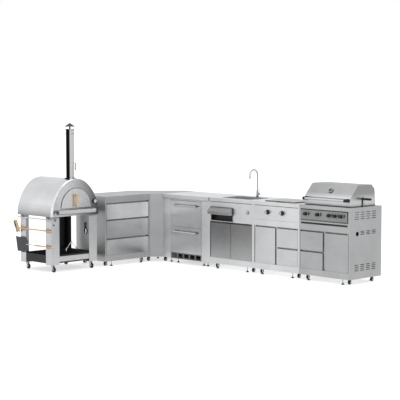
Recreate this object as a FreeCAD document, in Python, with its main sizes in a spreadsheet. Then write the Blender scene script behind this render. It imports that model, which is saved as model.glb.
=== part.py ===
import FreeCAD, Part
import math
import os
import re
import Sketcher

# An outdoor kitchen island: two runs of stainless steel modules that meet in a corner cabinet,
# with a pizza oven on its own cart at the end of the shorter run.
# X runs along the longer run, Y points to its back and Z points up from the floor.
# The origin is the sole of the corner cabinet's middle levelling foot. Lengths are millimetres.

# The plan of the island. Every module has its front left corner on the floor as its own origin.
counter_height = 950
counter_band = 50
module_depth = 616
fridge_width = 887
sink_width = 816
burner_width = 790
grill_width = 822
drawer_width = 810
corner_cut = 140
corner_chamfer = 541
corner_foot_setback = 275
cart_width = 775
cart_gap = 135
cart_setback = 15

# Sheet, front frame and the levels that every module shares.
steel_sheet = 3
stile = 22
frame_depth = 20
kick_bottom = 70
kick_top = 150
split_level = 380
door_drop = 312
fascia_drop = 234
front_thick = 24
front_reveal = 3
pull_height = 18
pull_reach = 34
pull_depth = 15
lip_thick = 6
over_cut = 2
hinge_pin = 4
hinge_pin_seat = 6
pin_clearance = 0.06

# Drawer trays and the slides that carry them.
tray_inset = 4
tray_sheet = 3
tray_depth = 500
tray_raise = 14
tray_drop = 52
slide_gap = 0.4
slide_height = 36
slide_raise = 20

# Drawer cabinet.
top_drawer_drop = 88
middle_drawer_drop = 312

# Corner cabinet.
corner_front_sheet = 20
corner_port_x = -345
corner_port_y = 325
corner_port_radius = 75

# Refrigerator module.
fridge_side_gap = 3
fridge_top_drop = 70
fridge_case_width = 597
fridge_split = 513
fridge_base = 150
fridge_front_thick = 44
fridge_case_depth = 540
fridge_wall = 35
fridge_gap = 2
fridge_foot_level = 68
fridge_handle_radius = 8
fridge_handle_length = 452
fridge_handle_stand = 42
fridge_handle_drop = 65
fridge_post_radius = 6
fridge_post_inset = 22
basket_inset = 46
basket_height = 230
basket_depth = 440
# Its ventilation grille.
grille_height = 78
grille_depth = 18
grille_window = 102
grille_windows = 5
grille_rim = 7
counter_overhang = 12

# Shadow line under every counter band.
groove_height = 8
groove_depth = 8
# Towel niche and bottle opener.
niche_left = 40
niche_width = 408
niche_low_drop = 305
niche_high_drop = 125
niche_depth = 70
niche_sheet = 2
niche_gap = 0.5
niche_flange = 8
hood_radius = 68
hood_lip_drop = 215
towel_rod_radius = 6
opener_x = 714
opener_drop = 157
opener_radius = 16
opener_stand = 16
# Sink bowl and its drain.
bowl_left = 153
bowl_front = 92
bowl_length = 520
bowl_width = 350
bowl_depth = 200
bowl_sheet = 2
bowl_corner = 40
bowl_rim = 14
bowl_gap = 0.5
drain_radius = 28
drain_pipe_radius = 19
drain_pipe_wall = 2
drain_pipe_length = 60
# Tap: its body, its swinging spout and its lever.
tap_x = 418
tap_y = 505
tap_flange_radius = 26
tap_flange_height = 6
tap_body_radius = 17
tap_body_height = 70
spout_radius = 11
spout_raise = 293
spout_reach = 150
spout_drop = 40
spigot_radius = 8
spigot_length = 25
fit_clearance = 0.08
end_gap = 0.3
lever_raise = 40
lever_boss_radius = 12
lever_boss_reach = 34
lever_spindle_radius = 5
lever_spindle_length = 14
lever_hub_length = 16
lever_stick_radius = 4
lever_stick_length = 75

# Burner module.
burner_post_left = 388
burner_post_width = 24
post_setback = 12
# Gas knobs.
knob_stem_radius = 4
knob_stem_length = 8
knob_skirt_radius = 25
knob_skirt_height = 6
knob_grip_radius = 19
knob_grip_height = 45
knob_pointer = 5
knob_pointer_reach = 21
knob_pointer_raise = 3
burner_knob_1 = 253
burner_knob_2 = 502
burner_knob_drop = 132
seam_height = 2
# Pan of the side burner, its flame rings and trivets.
pan_left = 150
pan_front = 85
pan_length = 490
pan_width = 400
pan_depth = 70
pan_sheet = 2
pan_rim = 10
pan_gap = 0.5
flame_ring_radius = 48
flame_ring_height = 18
flame_cap_radius = 38
flame_cap_height = 8
flame_spread = 240
trivet_bar = 8
trivet_reach = 95
trivet_drop = 8
# Cover of the side burner.
cover_height = 10
cover_sheet = 2
cover_gap = 1
cover_hinge_radius = 3
cover_hinge_setback = 8
cover_hinge_raise = 6
cover_ear = 8
cover_ear_reach = 5
cover_ear_inset = 40
cover_knuckle_wall = 1
cover_grip_length = 120
cover_grip_reach = 12

# Grill module, with its control panel.
grill_seam_drop = 238
grill_post_left = 392
grill_post_width = 34
grill_door_drop = 314
panel_left = 31
panel_length = 751
panel_low_drop = 184
panel_high_drop = 54
panel_thick = 10
panel_bevel = 6
grill_knob_1 = 126
grill_knob_2 = 321
grill_knob_3 = 506
grill_knob_4 = 602
grill_knob_5 = 696
grill_knob_drop = 108
switch_x = 82
switch_length = 26
switch_height = 14
switch_stand = 4
# Drip tray.
drip_low_drop = 236
drip_high_drop = 212
drip_gap = 1.5
drip_slide_inset = 3
drip_front = 12
drip_inset = 9
drip_depth = 520
drip_sheet = 2
drip_pull = 40
# Lid, its hinge, handle and dial.
lid_left = 40
lid_length = 735
lid_gap = 5
lid_front = 58
lid_brow_front = 52
lid_brow_rise = 105
lid_crown_front = 205
lid_crown_rise = 266
lid_crown_back = 470
lid_nape_back = 528
lid_nape_rise = 210
lid_back = 548
lid_skin = 4
lid_hinge_y = 561
lid_hinge_rise = 10
lid_hinge_radius = 4
lid_knuckle = 16
lid_ear = 8
lid_ear_inset = 44
lid_handle_radius = 13
lid_handle_stand = 52
lid_handle_rise = 85
lid_handle_inset = 22
lid_post_radius = 8
lid_post_inset = 34
lid_dial_radius = 30
lid_dial_thick = 8
# Fire box and its vents.
cavity_margin = 6
liner_sheet = 3
liner_floor_drop = 208
grease_hole = 25
louvre_length = 75
louvre_height = 8
louvre_first = 129
louvre_pitch = 111
louvre_high_drop = 146
louvre_high_step = 27
louvre_mid_drop = 338
louvre_mid_step = 19
louvre_low_base = 170
louvre_low_step = 23
hose_hole_y = 138
hose_hole_drop = 323
hose_hole_radius = 28
# Rotisserie spit and its posts.
spit_y = 300
spit_rise = 95
spit_radius = 6
spit_clearance = 0.08
spit_left = 8
spit_grip_radius = 13
spit_grip_length = 105
spit_grip_start = 800
spit_post_left = 14
spit_post_right = 782
spit_post_thick = 6
spit_post_width = 26
notch_front = 276
notch_width = 40
notch_rise = 112
# Burner tubes and their shields.
burner_tube_radius = 13
burner_tube_drop = 150
burner_tube_front = 64
burner_tube_reach = 430
shield_width = 90
shield_rise = 34
shield_sheet = 2
shield_drop = 112
# Cooking grates.
grate_drop = 45
grate_thick = 8
grate_count = 3
grate_gap = 3
grate_bar = 8
grate_rim = 14
grate_play = 1
grate_bars = 9
grate_ledge = 10

# Levelling feet and casters under the cabinets.
foot_radius = 20
foot_disc = 8
foot_stem = 5
foot_side = 135
foot_front = 35
pillar_foot_left = 57
pillar_foot_right = 775
pillar_foot_front = 95
case_foot_inset = 45
case_foot_front = 98
# Casters.
caster_side = 75
caster_front = 90
caster_lift = 2.5
caster_radius = 27.5
caster_width = 22
caster_hood = 36
caster_cheek = 4
caster_bridge = 62
caster_stem = 9
corner_foot_left = 120
corner_foot_right = 120
corner_foot_back = 90
corner_caster_spread = 84
corner_caster_setback = 55
corner_caster_left = 116
corner_caster_side = 40
corner_caster_right = 180
corner_caster_back = 100

# Cart of the pizza oven.
cart_depth = 655
leg_length = 135
leg_depth = 115
leg_sheet = 3
leg_bottom = 97
leg_plate = 6
cart_top = 745
ring_height = 10
ring_width = 30
rail_low = 137
rail_height = 68
rail_thick = 9
tray_low = 118
tray_wall = 107
wood_tray_sheet = 2
bracket_size = 60
# Swivel casters of the cart.
kingpin_x = 67
kingpin_y = 57
kingpin_radius = 6
kingpin_head = 9
kingpin_head_thick = 3
wheel_radius = 35
wheel_width = 24
wheel_trail = 20
wheel_gap = 1
fork_sheet = 4
fork_reach = 24
swivel_radius = 22
swivel_gap = 0.5
axle_radius = 5
# Log rack.
rack_setback = 145
rack_bar = 8
rack_left = 360
rack_right = 552
rack_shoulder = 150
rack_peak = 255
# Side rail and tool pegs.
side_rail_radius = 8
side_rail_stand = 40
side_rail_level = 700
side_rail_overhang = 28
side_rail_length = 685
side_rail_post = 6
peg_radius = 4
peg_length = 46
peg_front = 57
peg_back = 575
tool_stand = 26
tool_grip_radius = 10
brush_level = 550
shovel_level = 342
shovel_low = 240
# Outer shell and front of the oven.
oven_overhang = 35
oven_half = 402
oven_rise = 489
oven_length = 735
oven_base = 732
oven_skin = 3
face_thick = 30
face_bevel = 12
# Oven door, its grip and dial.
door_half = 250
door_rise = 258
door_sill = 837
door_gap = 1.5
door_thick = 30
door_proud = 8
door_grip_radius = 11
door_grip_length = 176
door_grip_raise = 8
door_grip_stand = 49
door_grip_shift = 14
door_post_radius = 5
door_post_inset = 18
oven_dial_x = 710
oven_dial_level = 910
oven_dial_radius = 30
oven_dial_thick = 10
# Baking chamber and its tiles.
chamber_half = 300
chamber_rise = 330
chamber_length = 645
chamber_base = 790
chamber_sheet = 3
tile_thick = 40
tile_gap = 0.5
# Flue, its saddle, collars and cap.
throat_radius = 44
throat_reach = 40
flue_radius = 52
flue_wall = 3
flue_back = 80
flue_top = 1870
saddle_radius = 76
saddle_raise = 4
saddle_sink = 30
collar_radius = 57
collar_height = 9
collar_low = 1806
collar_high = 1858
cap_radius = 68
cap_low = 1903
cap_rise = 47
cap_point = 4
cap_post = 8
# Damper in the flue.
damper_level = 1420
damper_radius = 44
damper_thick = 3
damper_rod = 4
damper_reach = 92
damper_tail = 6
damper_grip = 9
damper_grip_length = 88
damper_drop = 8
# Shelf below the oven's mouth.
shelf_left = 24
shelf_length = 624
shelf_level = 800
shelf_sheet = 5
shelf_reach = 80
shelf_rail = 26
shelf_cap = 8
shelf_cap_rim = 1
shelf_apron = 40

# Brush, shovel and wheel cutter.
brush_start = -65
brush_length = 735
brush_heel = 640
brush_head_low = 500
brush_head_high = 655
brush_head_width = 32
brush_lean = 72
bristle_start = 660
bristle_end = 776
bristle_depth = 36
bristle_low = 470
bristle_high = 640
shovel_start = -95
shovel_grip_length = 497
shovel_neck_start = 400
shovel_neck_length = 100
blade_start = 468
blade_shoulder = 32
blade_end = 690
blade_lean = 38
blade_heel_low = 290
blade_heel_high = 390
blade_high = 425
blade_toe_high = 436
blade_thick = 3
cutter_y = 415
cutter_level = 459
cutter_disc_radius = 36
cutter_disc_stand = 14
cutter_boss_radius = 8
cutter_boss_length = 20
cutter_grip_stand = 18
cutter_grip_thick = 14
cutter_grip_width = 16
cutter_grip_length = 82
cutter_grip_raise = 4

# Every size above has a cell of its own in the sheet, under its own name.
SIZES = {name: value for name, value in dict(globals()).items() if isinstance(value, (int, float))}

Vector = FreeCAD.Vector
Rotation = FreeCAD.Rotation

doc = FreeCAD.newDocument("OutdoorKitchenIsland")
sheet = doc.addObject("Spreadsheet::Sheet", "Sizes")
for row, (name, value) in enumerate(SIZES.items(), 1):
    sheet.set(f"A{row}", str(value))
    sheet.setAlias(f"A{row}", name)
sheet.recompute()
NODES = []


def cell(word):
    """The cell of a size. A level whose drop has a cell hangs that far below the counter."""
    name = word.group()
    drop = name.replace("_level", "_drop")
    if name in SIZES:
        return f"Sizes.{name}"
    if name.endswith("_level") and drop in SIZES:
        return f"(Sizes.counter_height - Sizes.{drop})"
    return name


def bind(formula):
    """Turn a formula in size and level names into one in cells of the sheet."""
    return re.sub(r"[a-z][a-z_0-9]*", cell, str(formula))


def at(piece, x=0, y=0, z=0):
    """Bind a piece's position to formulas."""
    for axis, formula in (("x", x), ("y", y), ("z", z)):
        piece.setExpression(f"Placement.Base.{axis}", bind(formula))
    return piece


def box(x, y, z, length, width, height):
    piece = doc.addObject("Part::Box", "Block")
    for name, formula in (("Length", length), ("Width", width), ("Height", height)):
        piece.setExpression(name, bind(formula))
    return at(piece, x, y, z)


TURNS = {
    "x": Rotation(Vector(0, 1, 0), 90),
    "y": Rotation(Vector(1, 0, 0), -90),
    "z": Rotation(),
}
HEX = 6
OCTAGON = 8
TEN_SIDED = 10
TWELVE_SIDED = 12
SIXTEEN_SIDED = 16
PIPE_SIDED = 24


def cylinder(x, y, z, radius, height, axis="z"):
    """A cylinder that starts at a point and runs along the positive direction of an axis."""
    piece = doc.addObject("Part::Cylinder", "Round")
    piece.setExpression("Radius", bind(radius))
    piece.setExpression("Height", bind(height))
    piece.Placement = FreeCAD.Placement(Vector(), TURNS[axis])
    return at(piece, x, y, z)


def sided(sides, x, y, z, radius, height, axis="z"):
    """A many-sided bar that starts at a point and runs along the positive direction of an axis."""
    piece = doc.addObject("Part::Prism", "Sided")
    piece.Polygon = sides
    piece.setExpression("Circumradius", bind(radius))
    piece.setExpression("Height", bind(height))
    piece.Placement = FreeCAD.Placement(Vector(), TURNS[axis])
    return at(piece, x, y, z)


def fuse(*pieces):
    if len(pieces) == 1:
        return pieces[0]
    joined = doc.addObject("Part::MultiFuse", "Joined")
    joined.Shapes = list(pieces)
    joined.Refine = True
    return joined


def cut(base, *tools):
    piece = doc.addObject("Part::Cut", "Remainder")
    piece.Base = base
    piece.Tool = fuse(*tools)
    piece.Refine = True
    return piece


def group(*pieces):
    """Separate solids that share one node."""
    joined = doc.addObject("Part::Compound", "Group")
    joined.Links = list(pieces)
    return joined


def new_body():
    return doc.addObject("PartDesign::Body", "Form")


def new_sketch(body, plane, offset=0):
    """A sketch on one of the body's own origin planes, moved along the plane's normal."""
    sketch = body.newObject("Sketcher::SketchObject", "Outline")
    support = next(item for item in body.Origin.OriginFeatures if item.Role == f"{plane}_Plane")
    sketch.AttachmentSupport = (support, [""])
    sketch.MapMode = "FlatFace"
    sketch.setExpression("AttachmentOffset.Base.z", bind(offset))
    return sketch


def hold(sketch, index, point, across, up):
    """Fix one point of a sketch at formulas measured from the sketch's origin."""
    for kind, formula in (("DistanceX", across), ("DistanceY", up)):
        place = sketch.getPoint(index, point)
        now = place.x if kind == "DistanceX" else place.y
        number = sketch.addConstraint(Sketcher.Constraint(kind, -1, 1, index, point, now))
        sketch.setExpression(f"Constraints[{number}]", bind(formula))


def polygon(sketch, points):
    """Draw a closed outline through points that are given as pairs of formulas."""
    count = len(points)
    rough = [
        Vector(100 * math.cos(2 * math.pi * i / count), 100 * math.sin(2 * math.pi * i / count), 0)
        for i in range(count)
    ]
    for i in range(count):
        sketch.addGeometry(Part.LineSegment(rough[i], rough[(i + 1) % count]))
    for i in range(count):
        sketch.addConstraint(Sketcher.Constraint("Coincident", i, 2, (i + 1) % count, 1))
    for i, (across, up) in enumerate(points):
        hold(sketch, i, 1, across, up)


def regular(sides, radius, up="0"):
    """The corners of a regular outline whose middle is raised along the sketch's own Y."""
    turns = [2 * math.pi * side / sides for side in range(sides)]
    return [
        (f"{radius} * {math.cos(turn):.6f}", f"{up} + {radius} * {math.sin(turn):.6f}") for turn in turns
    ]


def pad(body, sketch, length):
    """Pad a sketch along the positive direction of its axis."""
    feature = body.newObject("PartDesign::Pad", "Pad")
    feature.Profile = sketch
    feature.setExpression("Length", bind(length))
    feature.Reversed = sketch.AttachmentSupport[0][0].Role == "XZ_Plane"
    return feature


def prism(plane, points, length):
    """A straight prism along +X for YZ, along +Y for XZ, or along +Z for XY."""
    body = new_body()
    sketch = new_sketch(body, plane)
    polygon(sketch, points)
    pad(body, sketch, length)
    return body


def spire(sides, low_radius, high_radius, height):
    """A many-sided cone of flat faces, from its foot up to its blunt point."""
    turns = [2 * math.pi * side / sides for side in range(sides)]
    low, high = (
        [Vector(radius * math.cos(turn), radius * math.sin(turn), level) for turn in turns]
        for radius, level in ((low_radius, 0), (high_radius, height))
    )
    outlines = [low, high]
    for side in range(sides):
        after = (side + 1) % sides
        outlines.append([low[side], low[after], high[after], high[side]])
    faces = [Part.Face(Part.makePolygon(outline + outline[:1])) for outline in outlines]
    piece = doc.addObject("Part::Feature", "Spire")
    piece.Shape = Part.makeSolid(Part.makeShell(faces))
    return piece


def arch(half_width, rise, length):
    """A vault that stands on its flat side, drawn with three tangent arcs and extruded along +Y."""
    body = new_body()
    sketch = new_sketch(body, "XZ")
    half, high = 400, 490
    crown = half * half / high
    side = (half * half + high * high - 2 * high * crown) / (2 * (half - crown))
    turn = math.atan2(high - crown, side - half)
    up = Vector(0, 0, 1)
    right_circle = Part.Circle(Vector(half - side, 0, 0), up, side)
    crown_circle = Part.Circle(Vector(0, high - crown, 0), up, crown)
    left_circle = Part.Circle(Vector(side - half, 0, 0), up, side)
    right = sketch.addGeometry(Part.ArcOfCircle(right_circle, 0, turn))
    top = sketch.addGeometry(Part.ArcOfCircle(crown_circle, turn, math.pi - turn))
    left = sketch.addGeometry(Part.ArcOfCircle(left_circle, math.pi - turn, math.pi))
    base = sketch.addGeometry(Part.LineSegment(Vector(-half, 0, 0), Vector(half, 0, 0)))
    sketch.addConstraint(Sketcher.Constraint("Tangent", right, 2, top, 1))
    sketch.addConstraint(Sketcher.Constraint("Tangent", top, 2, left, 1))
    sketch.addConstraint(Sketcher.Constraint("Coincident", left, 2, base, 1))
    sketch.addConstraint(Sketcher.Constraint("Coincident", base, 2, right, 1))
    sketch.addConstraint(Sketcher.Constraint("PointOnObject", right, 3, -1))
    sketch.addConstraint(Sketcher.Constraint("PointOnObject", left, 3, -1))
    crown_radius = f"({half_width}) * ({half_width}) / ({rise})"
    hold(sketch, base, 1, f"-({half_width})", 0)
    hold(sketch, base, 2, half_width, 0)
    hold(sketch, top, 3, 0, f"{rise} - {crown_radius}")
    number = sketch.addConstraint(Sketcher.Constraint("Radius", top, crown))
    sketch.setExpression(f"Constraints[{number}]", bind(crown_radius))
    pad(body, sketch, length)
    return body


def picked_edges(body, chosen):
    """Those edges of a body's tip that a test on the edge picks."""
    doc.recompute()
    base = body.Tip
    return base, [f"Edge{i}" for i, edge in enumerate(base.Shape.Edges, 1) if chosen(edge)]


def round_edges(body, radius, chosen):
    edges = picked_edges(body, chosen)
    feature = body.newObject("PartDesign::Fillet", "Rounding")
    feature.Base = edges
    feature.setExpression("Radius", bind(radius))
    return body


def bevel_edges(body, size, chosen):
    edges = picked_edges(body, chosen)
    feature = body.newObject("PartDesign::Chamfer", "Bevel")
    feature.Base = edges
    feature.setExpression("Size", bind(size))
    return body


def along(axis):
    """A test for straight edges that lie along one axis."""
    direction = {"x": Vector(1, 0, 0), "y": Vector(0, 1, 0), "z": Vector(0, 0, 1)}[axis]

    def test(edge):
        if not isinstance(edge.Curve, Part.Line):
            return False
        return abs(abs(edge.Curve.Direction.dot(direction)) - 1) < 1e-6

    return test


def spot(module, x, y):
    """A point of a module as formulas in the island's frame."""
    left, front, turned_by = MODULES[module]
    if turned_by:
        return f"{left} - ({y})", f"{front} + ({x})"
    return f"{left} + ({x})", f"{front} + ({y})"


def stand(piece, module, x=0, y=0, z=0):
    """Turn a finished piece with its module and stand it there."""
    piece.Placement = FreeCAD.Placement(Vector(), Rotation(Vector(0, 0, 1), MODULES[module][2]))
    return at(piece, *spot(module, x, y), z)


def node(piece, label, module, x=0, y=0, z=0):
    """Name a finished piece and stand it in its module."""
    piece.Label = label
    NODES.append(stand(piece, module, x, y, z))
    return piece


CORNER_X = "corner_foot_setback + corner_cut / 2"
CORNER_Y = "corner_cut / 2 - corner_foot_setback"
SINK_X = f"{CORNER_X} + fridge_width"
BURNER_X = f"{SINK_X} + sink_width"
GRILL_X = f"{BURNER_X} + burner_width"
LEFT_RUN_Y = f"{CORNER_Y} - corner_cut - drawer_width"
MODULES = {
    "corner": (CORNER_X, CORNER_Y, 0),
    "fridge": (CORNER_X, CORNER_Y, 0),
    "sink": (SINK_X, CORNER_Y, 0),
    "burner": (BURNER_X, CORNER_Y, 0),
    "grill": (GRILL_X, CORNER_Y, 0),
    "drawers": (f"{CORNER_X} - corner_cut", LEFT_RUN_Y, 90),
    "oven": (
        f"{CORNER_X} - corner_cut - cart_setback",
        f"{LEFT_RUN_Y} - cart_gap - cart_width",
        90,
    ),
}


def cabinet(width, high="counter_height"):
    """The folded case of a module: sheet sides, back, top and floor behind a stout front frame."""
    case = box(0, 0, "kick_bottom", width, "module_depth", f"{high} - kick_bottom")
    room_length = f"{width} - 2 * steel_sheet"
    room_width = "module_depth - frame_depth - steel_sheet"
    room = box(
        "steel_sheet", "frame_depth", "kick_top", room_length, room_width,
        f"{high} - steel_sheet - kick_top",
    )
    under = box(
        "steel_sheet", "frame_depth", "kick_bottom - over_cut", room_length, room_width,
        "kick_top - steel_sheet - kick_bottom + over_cut",
    )
    return cut(case, room, under)


def front_opening(x, z, length, height):
    """A cutter through the front frame."""
    return box(x, "-over_cut", z, length, "frame_depth + 2 * over_cut", height)


def slides(left_wall, left_edge, right_edge, right_wall, levels):
    """Fixed slide members between a bay's walls and the trays that run in it."""
    pieces = []
    reach = "front_reveal + tray_inset - slide_gap"
    for level in levels:
        height = f"{level} + front_reveal / 2 + tray_raise + slide_raise"
        for start, end in (
            (left_wall, f"{left_edge} + {reach}"),
            (f"{right_edge} - ({reach})", right_wall),
        ):
            length = f"{end} - ({start})"
            member = box(
                start, "front_thick + over_cut", height, length, "tray_depth - over_cut",
                "slide_height",
            )
            pieces.append(member)
    return pieces


def front_panel(width, height):
    """A flush front whose top edge is folded into a finger channel."""
    channel = f"{height} - pull_height"
    channel_floor = f"{height} - pull_reach"
    return prism(
        "YZ",
        [
            (0, 0),
            ("front_thick", 0),
            ("front_thick", height),
            ("pull_depth", height),
            ("pull_depth", channel_floor),
            ("lip_thick", channel_floor),
            ("lip_thick", channel),
            (0, channel),
        ],
        width,
    )


def tray(width, height, depth, start):
    """An open sheet tray behind a front, measured from the front's lower left corner."""
    outer = box("tray_inset", start, "tray_raise", f"{width} - 2 * tray_inset", depth, height)
    inner = box(
        "tray_inset + tray_sheet", f"{start} + tray_sheet", "tray_raise + tray_sheet",
        f"{width} - 2 * tray_inset - 2 * tray_sheet", f"{depth} - 2 * tray_sheet", height,
    )
    return cut(outer, inner)


def drawer(width, height):
    body = tray(width, f"{height} - tray_raise - tray_drop", "tray_depth", "front_thick")
    return fuse(front_panel(width, height), body)


def add_drawer(label, module, left, right, low, high):
    """A drawer that fills a bay between two edges and two levels, less the reveal."""
    width = f"{right} - ({left}) - 2 * front_reveal"
    height = f"{high} - ({low}) - front_reveal"
    piece = drawer(f"({width})", f"({height})")
    return node(piece, label, module, f"{left} + front_reveal", 0, f"{low} + front_reveal / 2")


def add_door(label, module, left, right, low, high, hinge):
    """A flush door on pivot pins that sit in the frame above and below it."""
    width = f"({right} - ({left}) - 2 * front_reveal)"
    height = f"({high} - ({low}) - front_reveal)"
    panel = front_panel(f"{width} - front_thick / 2", height)
    at(panel, "front_thick / 2" if hinge == "left" else 0)
    axis_x = "front_thick / 2" if hinge == "left" else f"{width} - front_thick / 2"
    edge = cylinder(axis_x, "front_thick / 2", 0, "front_thick / 2", height)
    pin = cylinder(
        axis_x, "front_thick / 2", "-hinge_pin_seat", "hinge_pin", f"{height} + 2 * hinge_pin_seat"
    )
    piece = fuse(panel, edge, pin)
    return node(piece, label, module, f"{left} + front_reveal", 0, f"{low} + front_reveal / 2")


def pin_sockets(left, right, low, high, hinge):
    """Holes in the frame for a door's pivot pins."""
    reach = "front_reveal + front_thick / 2"
    axis_x = f"{left} + {reach}" if hinge == "left" else f"{right} - ({reach})"
    return cylinder(
        axis_x, "front_thick / 2", f"{low} - hinge_pin_seat", "hinge_pin + pin_clearance",
        f"{high} - ({low}) + 2 * hinge_pin_seat",
    )


# Drawer cabinet: three full-width drawers in the shorter run.

DRAWER_EDGES = ("stile", "drawer_width - stile")
drawer_levels = ["kick_top", "split_level", "middle_drawer_level", "top_drawer_level"]
case = cut(
    cabinet("drawer_width"),
    front_opening("stile", "kick_top", "drawer_width - 2 * stile", "top_drawer_level - kick_top"),
)
rails = slides(
    "steel_sheet", *DRAWER_EDGES, "drawer_width - steel_sheet", drawer_levels[:-1]
)
node(fuse(case, *rails), "drawer_cabinet", "drawers")
for place, label in enumerate(("bottom_drawer", "middle_drawer", "top_drawer")):
    add_drawer(label, "drawers", *DRAWER_EDGES, drawer_levels[place], drawer_levels[place + 1])

# Corner cabinet: a six-sided case with a plain front panel across the inner corner.


def corner_plan(sheet_in, front_in):
    """The corner's outline, drawn in by the sheet's thickness and by the front panel's."""
    slant = f"({front_in}) * sqrt(2)"
    trim = f"({sheet_in}) * (sqrt(2) - 1)"
    left = f"-corner_cut - module_depth + {sheet_in}"
    return [
        (f"-({sheet_in})", f"{slant} - {sheet_in}"),
        (f"-corner_cut - {slant} + {sheet_in}", f"-corner_cut + {sheet_in}"),
        (left, f"-corner_cut + {sheet_in}"),
        (left, f"module_depth - corner_chamfer - {trim}"),
        (f"corner_chamfer - corner_cut - module_depth + {trim}", f"module_depth - {sheet_in}"),
        (f"-({sheet_in})", f"module_depth - {sheet_in}"),
    ]


def corner_block(sheet_in, front_in, low, high):
    block = prism("XY", corner_plan(sheet_in, front_in), f"{high} - ({low})")
    return at(block, 0, 0, low)


case = cut(
    corner_block("0", "0", "kick_bottom", "counter_height"),
    corner_block("steel_sheet", "corner_front_sheet", "kick_top", "counter_height - steel_sheet"),
    corner_block(
        "steel_sheet", "corner_front_sheet", "kick_bottom - over_cut", "kick_top - steel_sheet"
    ),
    cylinder(
        "corner_port_x", "corner_port_y", "kick_bottom", "corner_port_radius",
        "kick_top - kick_bottom",
    ),
)
node(case, "corner_cabinet", "corner")

# Refrigerator module: a wide frame round a case with two insulated drawers.

FRIDGE_OPENING = "(fridge_case_width + 2 * fridge_side_gap)"
FRIDGE_LEFT = f"(fridge_width - {FRIDGE_OPENING}) / 2"
overhang = prism(
    "XY",
    [
        (0, 0),
        ("-counter_overhang", "-counter_overhang"),
        ("fridge_width", "-counter_overhang"),
        ("fridge_width", 0),
    ],
    "counter_band",
)
at(overhang, 0, 0, "counter_height - counter_band")
bay = box(
    FRIDGE_LEFT, "-over_cut", "kick_bottom - over_cut", FRIDGE_OPENING,
    "module_depth - steel_sheet + over_cut", "fridge_top_level - kick_bottom + over_cut",
)
partitions = [
    box(
        x, "frame_depth", "kick_bottom", "steel_sheet", "module_depth - frame_depth",
        "counter_height - kick_bottom",
    )
    for x in (f"{FRIDGE_LEFT} - steel_sheet", f"{FRIDGE_LEFT} + {FRIDGE_OPENING}")
]
case = fuse(cut(cabinet("fridge_width"), bay), overhang, *partitions)
node(case, "fridge_cabinet", "fridge")

CASE_LEFT = "(fridge_width - fridge_case_width) / 2"
shell = box(
    CASE_LEFT, "fridge_front_thick + fridge_gap", "fridge_foot_level", "fridge_case_width",
    "fridge_case_depth", "fridge_top_level - front_reveal - fridge_foot_level",
)
room_left = f"{CASE_LEFT} + fridge_wall"
room_length = "fridge_case_width - 2 * fridge_wall"
room_front = "fridge_front_thick"
room_depth = "fridge_case_depth - fridge_wall + fridge_gap"
lower_room = box(
    room_left, room_front, "fridge_base + fridge_wall", room_length, room_depth,
    "fridge_split - fridge_base - 1.5 * fridge_wall",
)
upper_room = box(
    room_left, room_front, "fridge_split + fridge_wall / 2", room_length, room_depth,
    "fridge_top_level - fridge_split - 1.5 * fridge_wall - front_reveal",
)
machine_room = box(
    room_left, room_front, "fridge_foot_level + grille_rim", room_length, room_depth,
    "grille_height - 2 * grille_rim",
)
grille = box(
    CASE_LEFT, 0, "fridge_foot_level", "fridge_case_width", "grille_depth", "grille_height"
)
grille_bar = "(fridge_case_width - grille_windows * grille_window) / (grille_windows + 1)"
windows = [
    box(
        f"{CASE_LEFT} + {grille_bar} + {place} * (grille_window + {grille_bar})", "-over_cut",
        "fridge_foot_level + grille_rim", "grille_window", "grille_depth + 2 * over_cut",
        "grille_height - 2 * grille_rim",
    )
    for place in range(grille_windows)
]
grille_stays = [
    box(
        f"{CASE_LEFT} + {start}", "grille_depth", "fridge_foot_level", "fridge_wall / 2",
        "fridge_front_thick + fridge_gap - grille_depth", "grille_height",
    )
    for start in ("0", "fridge_case_width - fridge_wall / 2")
]
basket_slides = [
    box(
        x, "fridge_front_thick + over_cut", f"{level} + front_reveal / 2 + basket_inset + slide_raise",
        "basket_inset - fridge_wall - slide_gap", "basket_depth - over_cut", "slide_height",
    )
    for level in ("fridge_base", "fridge_split")
    for x in (
        room_left,
        f"{room_left} + {room_length} - (basket_inset - fridge_wall - slide_gap)",
    )
]
node(
    fuse(
        cut(shell, lower_room, upper_room, machine_room),
        cut(grille, *windows),
        *grille_stays,
        *basket_slides,
    ),
    "fridge_case",
    "fridge",
)


def fridge_drawer(label, low, high):
    """An insulated drawer with a bar handle on two posts and a basket behind."""
    height = f"({high} - ({low}) - front_reveal)"
    front = box(0, 0, 0, "fridge_case_width", "fridge_front_thick", height)
    handle_z = f"{height} - fridge_handle_drop"
    handle_left = "(fridge_case_width - fridge_handle_length) / 2"
    bar = cylinder(
        handle_left, "-fridge_handle_stand", handle_z, "fridge_handle_radius",
        "fridge_handle_length", "x",
    )
    posts = [
        sided(
            OCTAGON, x, "-fridge_handle_stand", handle_z, "fridge_post_radius",
            "fridge_handle_stand + over_cut", "y",
        )
        for x in (
            f"{handle_left} + fridge_post_inset",
            f"fridge_case_width - {handle_left} - fridge_post_inset",
        )
    ]
    basket = cut(
        box(
            "basket_inset", "fridge_front_thick", "basket_inset", "fridge_case_width - 2 * basket_inset",
            "basket_depth", "basket_height",
        ),
        box(
            "basket_inset + tray_sheet", "fridge_front_thick + tray_sheet", "basket_inset + tray_sheet",
            "fridge_case_width - 2 * (basket_inset + tray_sheet)", "basket_depth - 2 * tray_sheet",
            "basket_height",
        ),
    )
    piece = fuse(front, bar, *posts, basket)
    return node(piece, label, "fridge", CASE_LEFT, 0, f"{low} + front_reveal / 2")


fridge_drawer("fridge_lower_drawer", "fridge_base", "fridge_split")
fridge_drawer("fridge_upper_drawer", "fridge_split", "fridge_top_level - front_reveal")

# Sink module: a bowl and a tap in the counter, a towel niche and a pair of doors below.

SINK_MIDDLE = "sink_width / 2"


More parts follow.
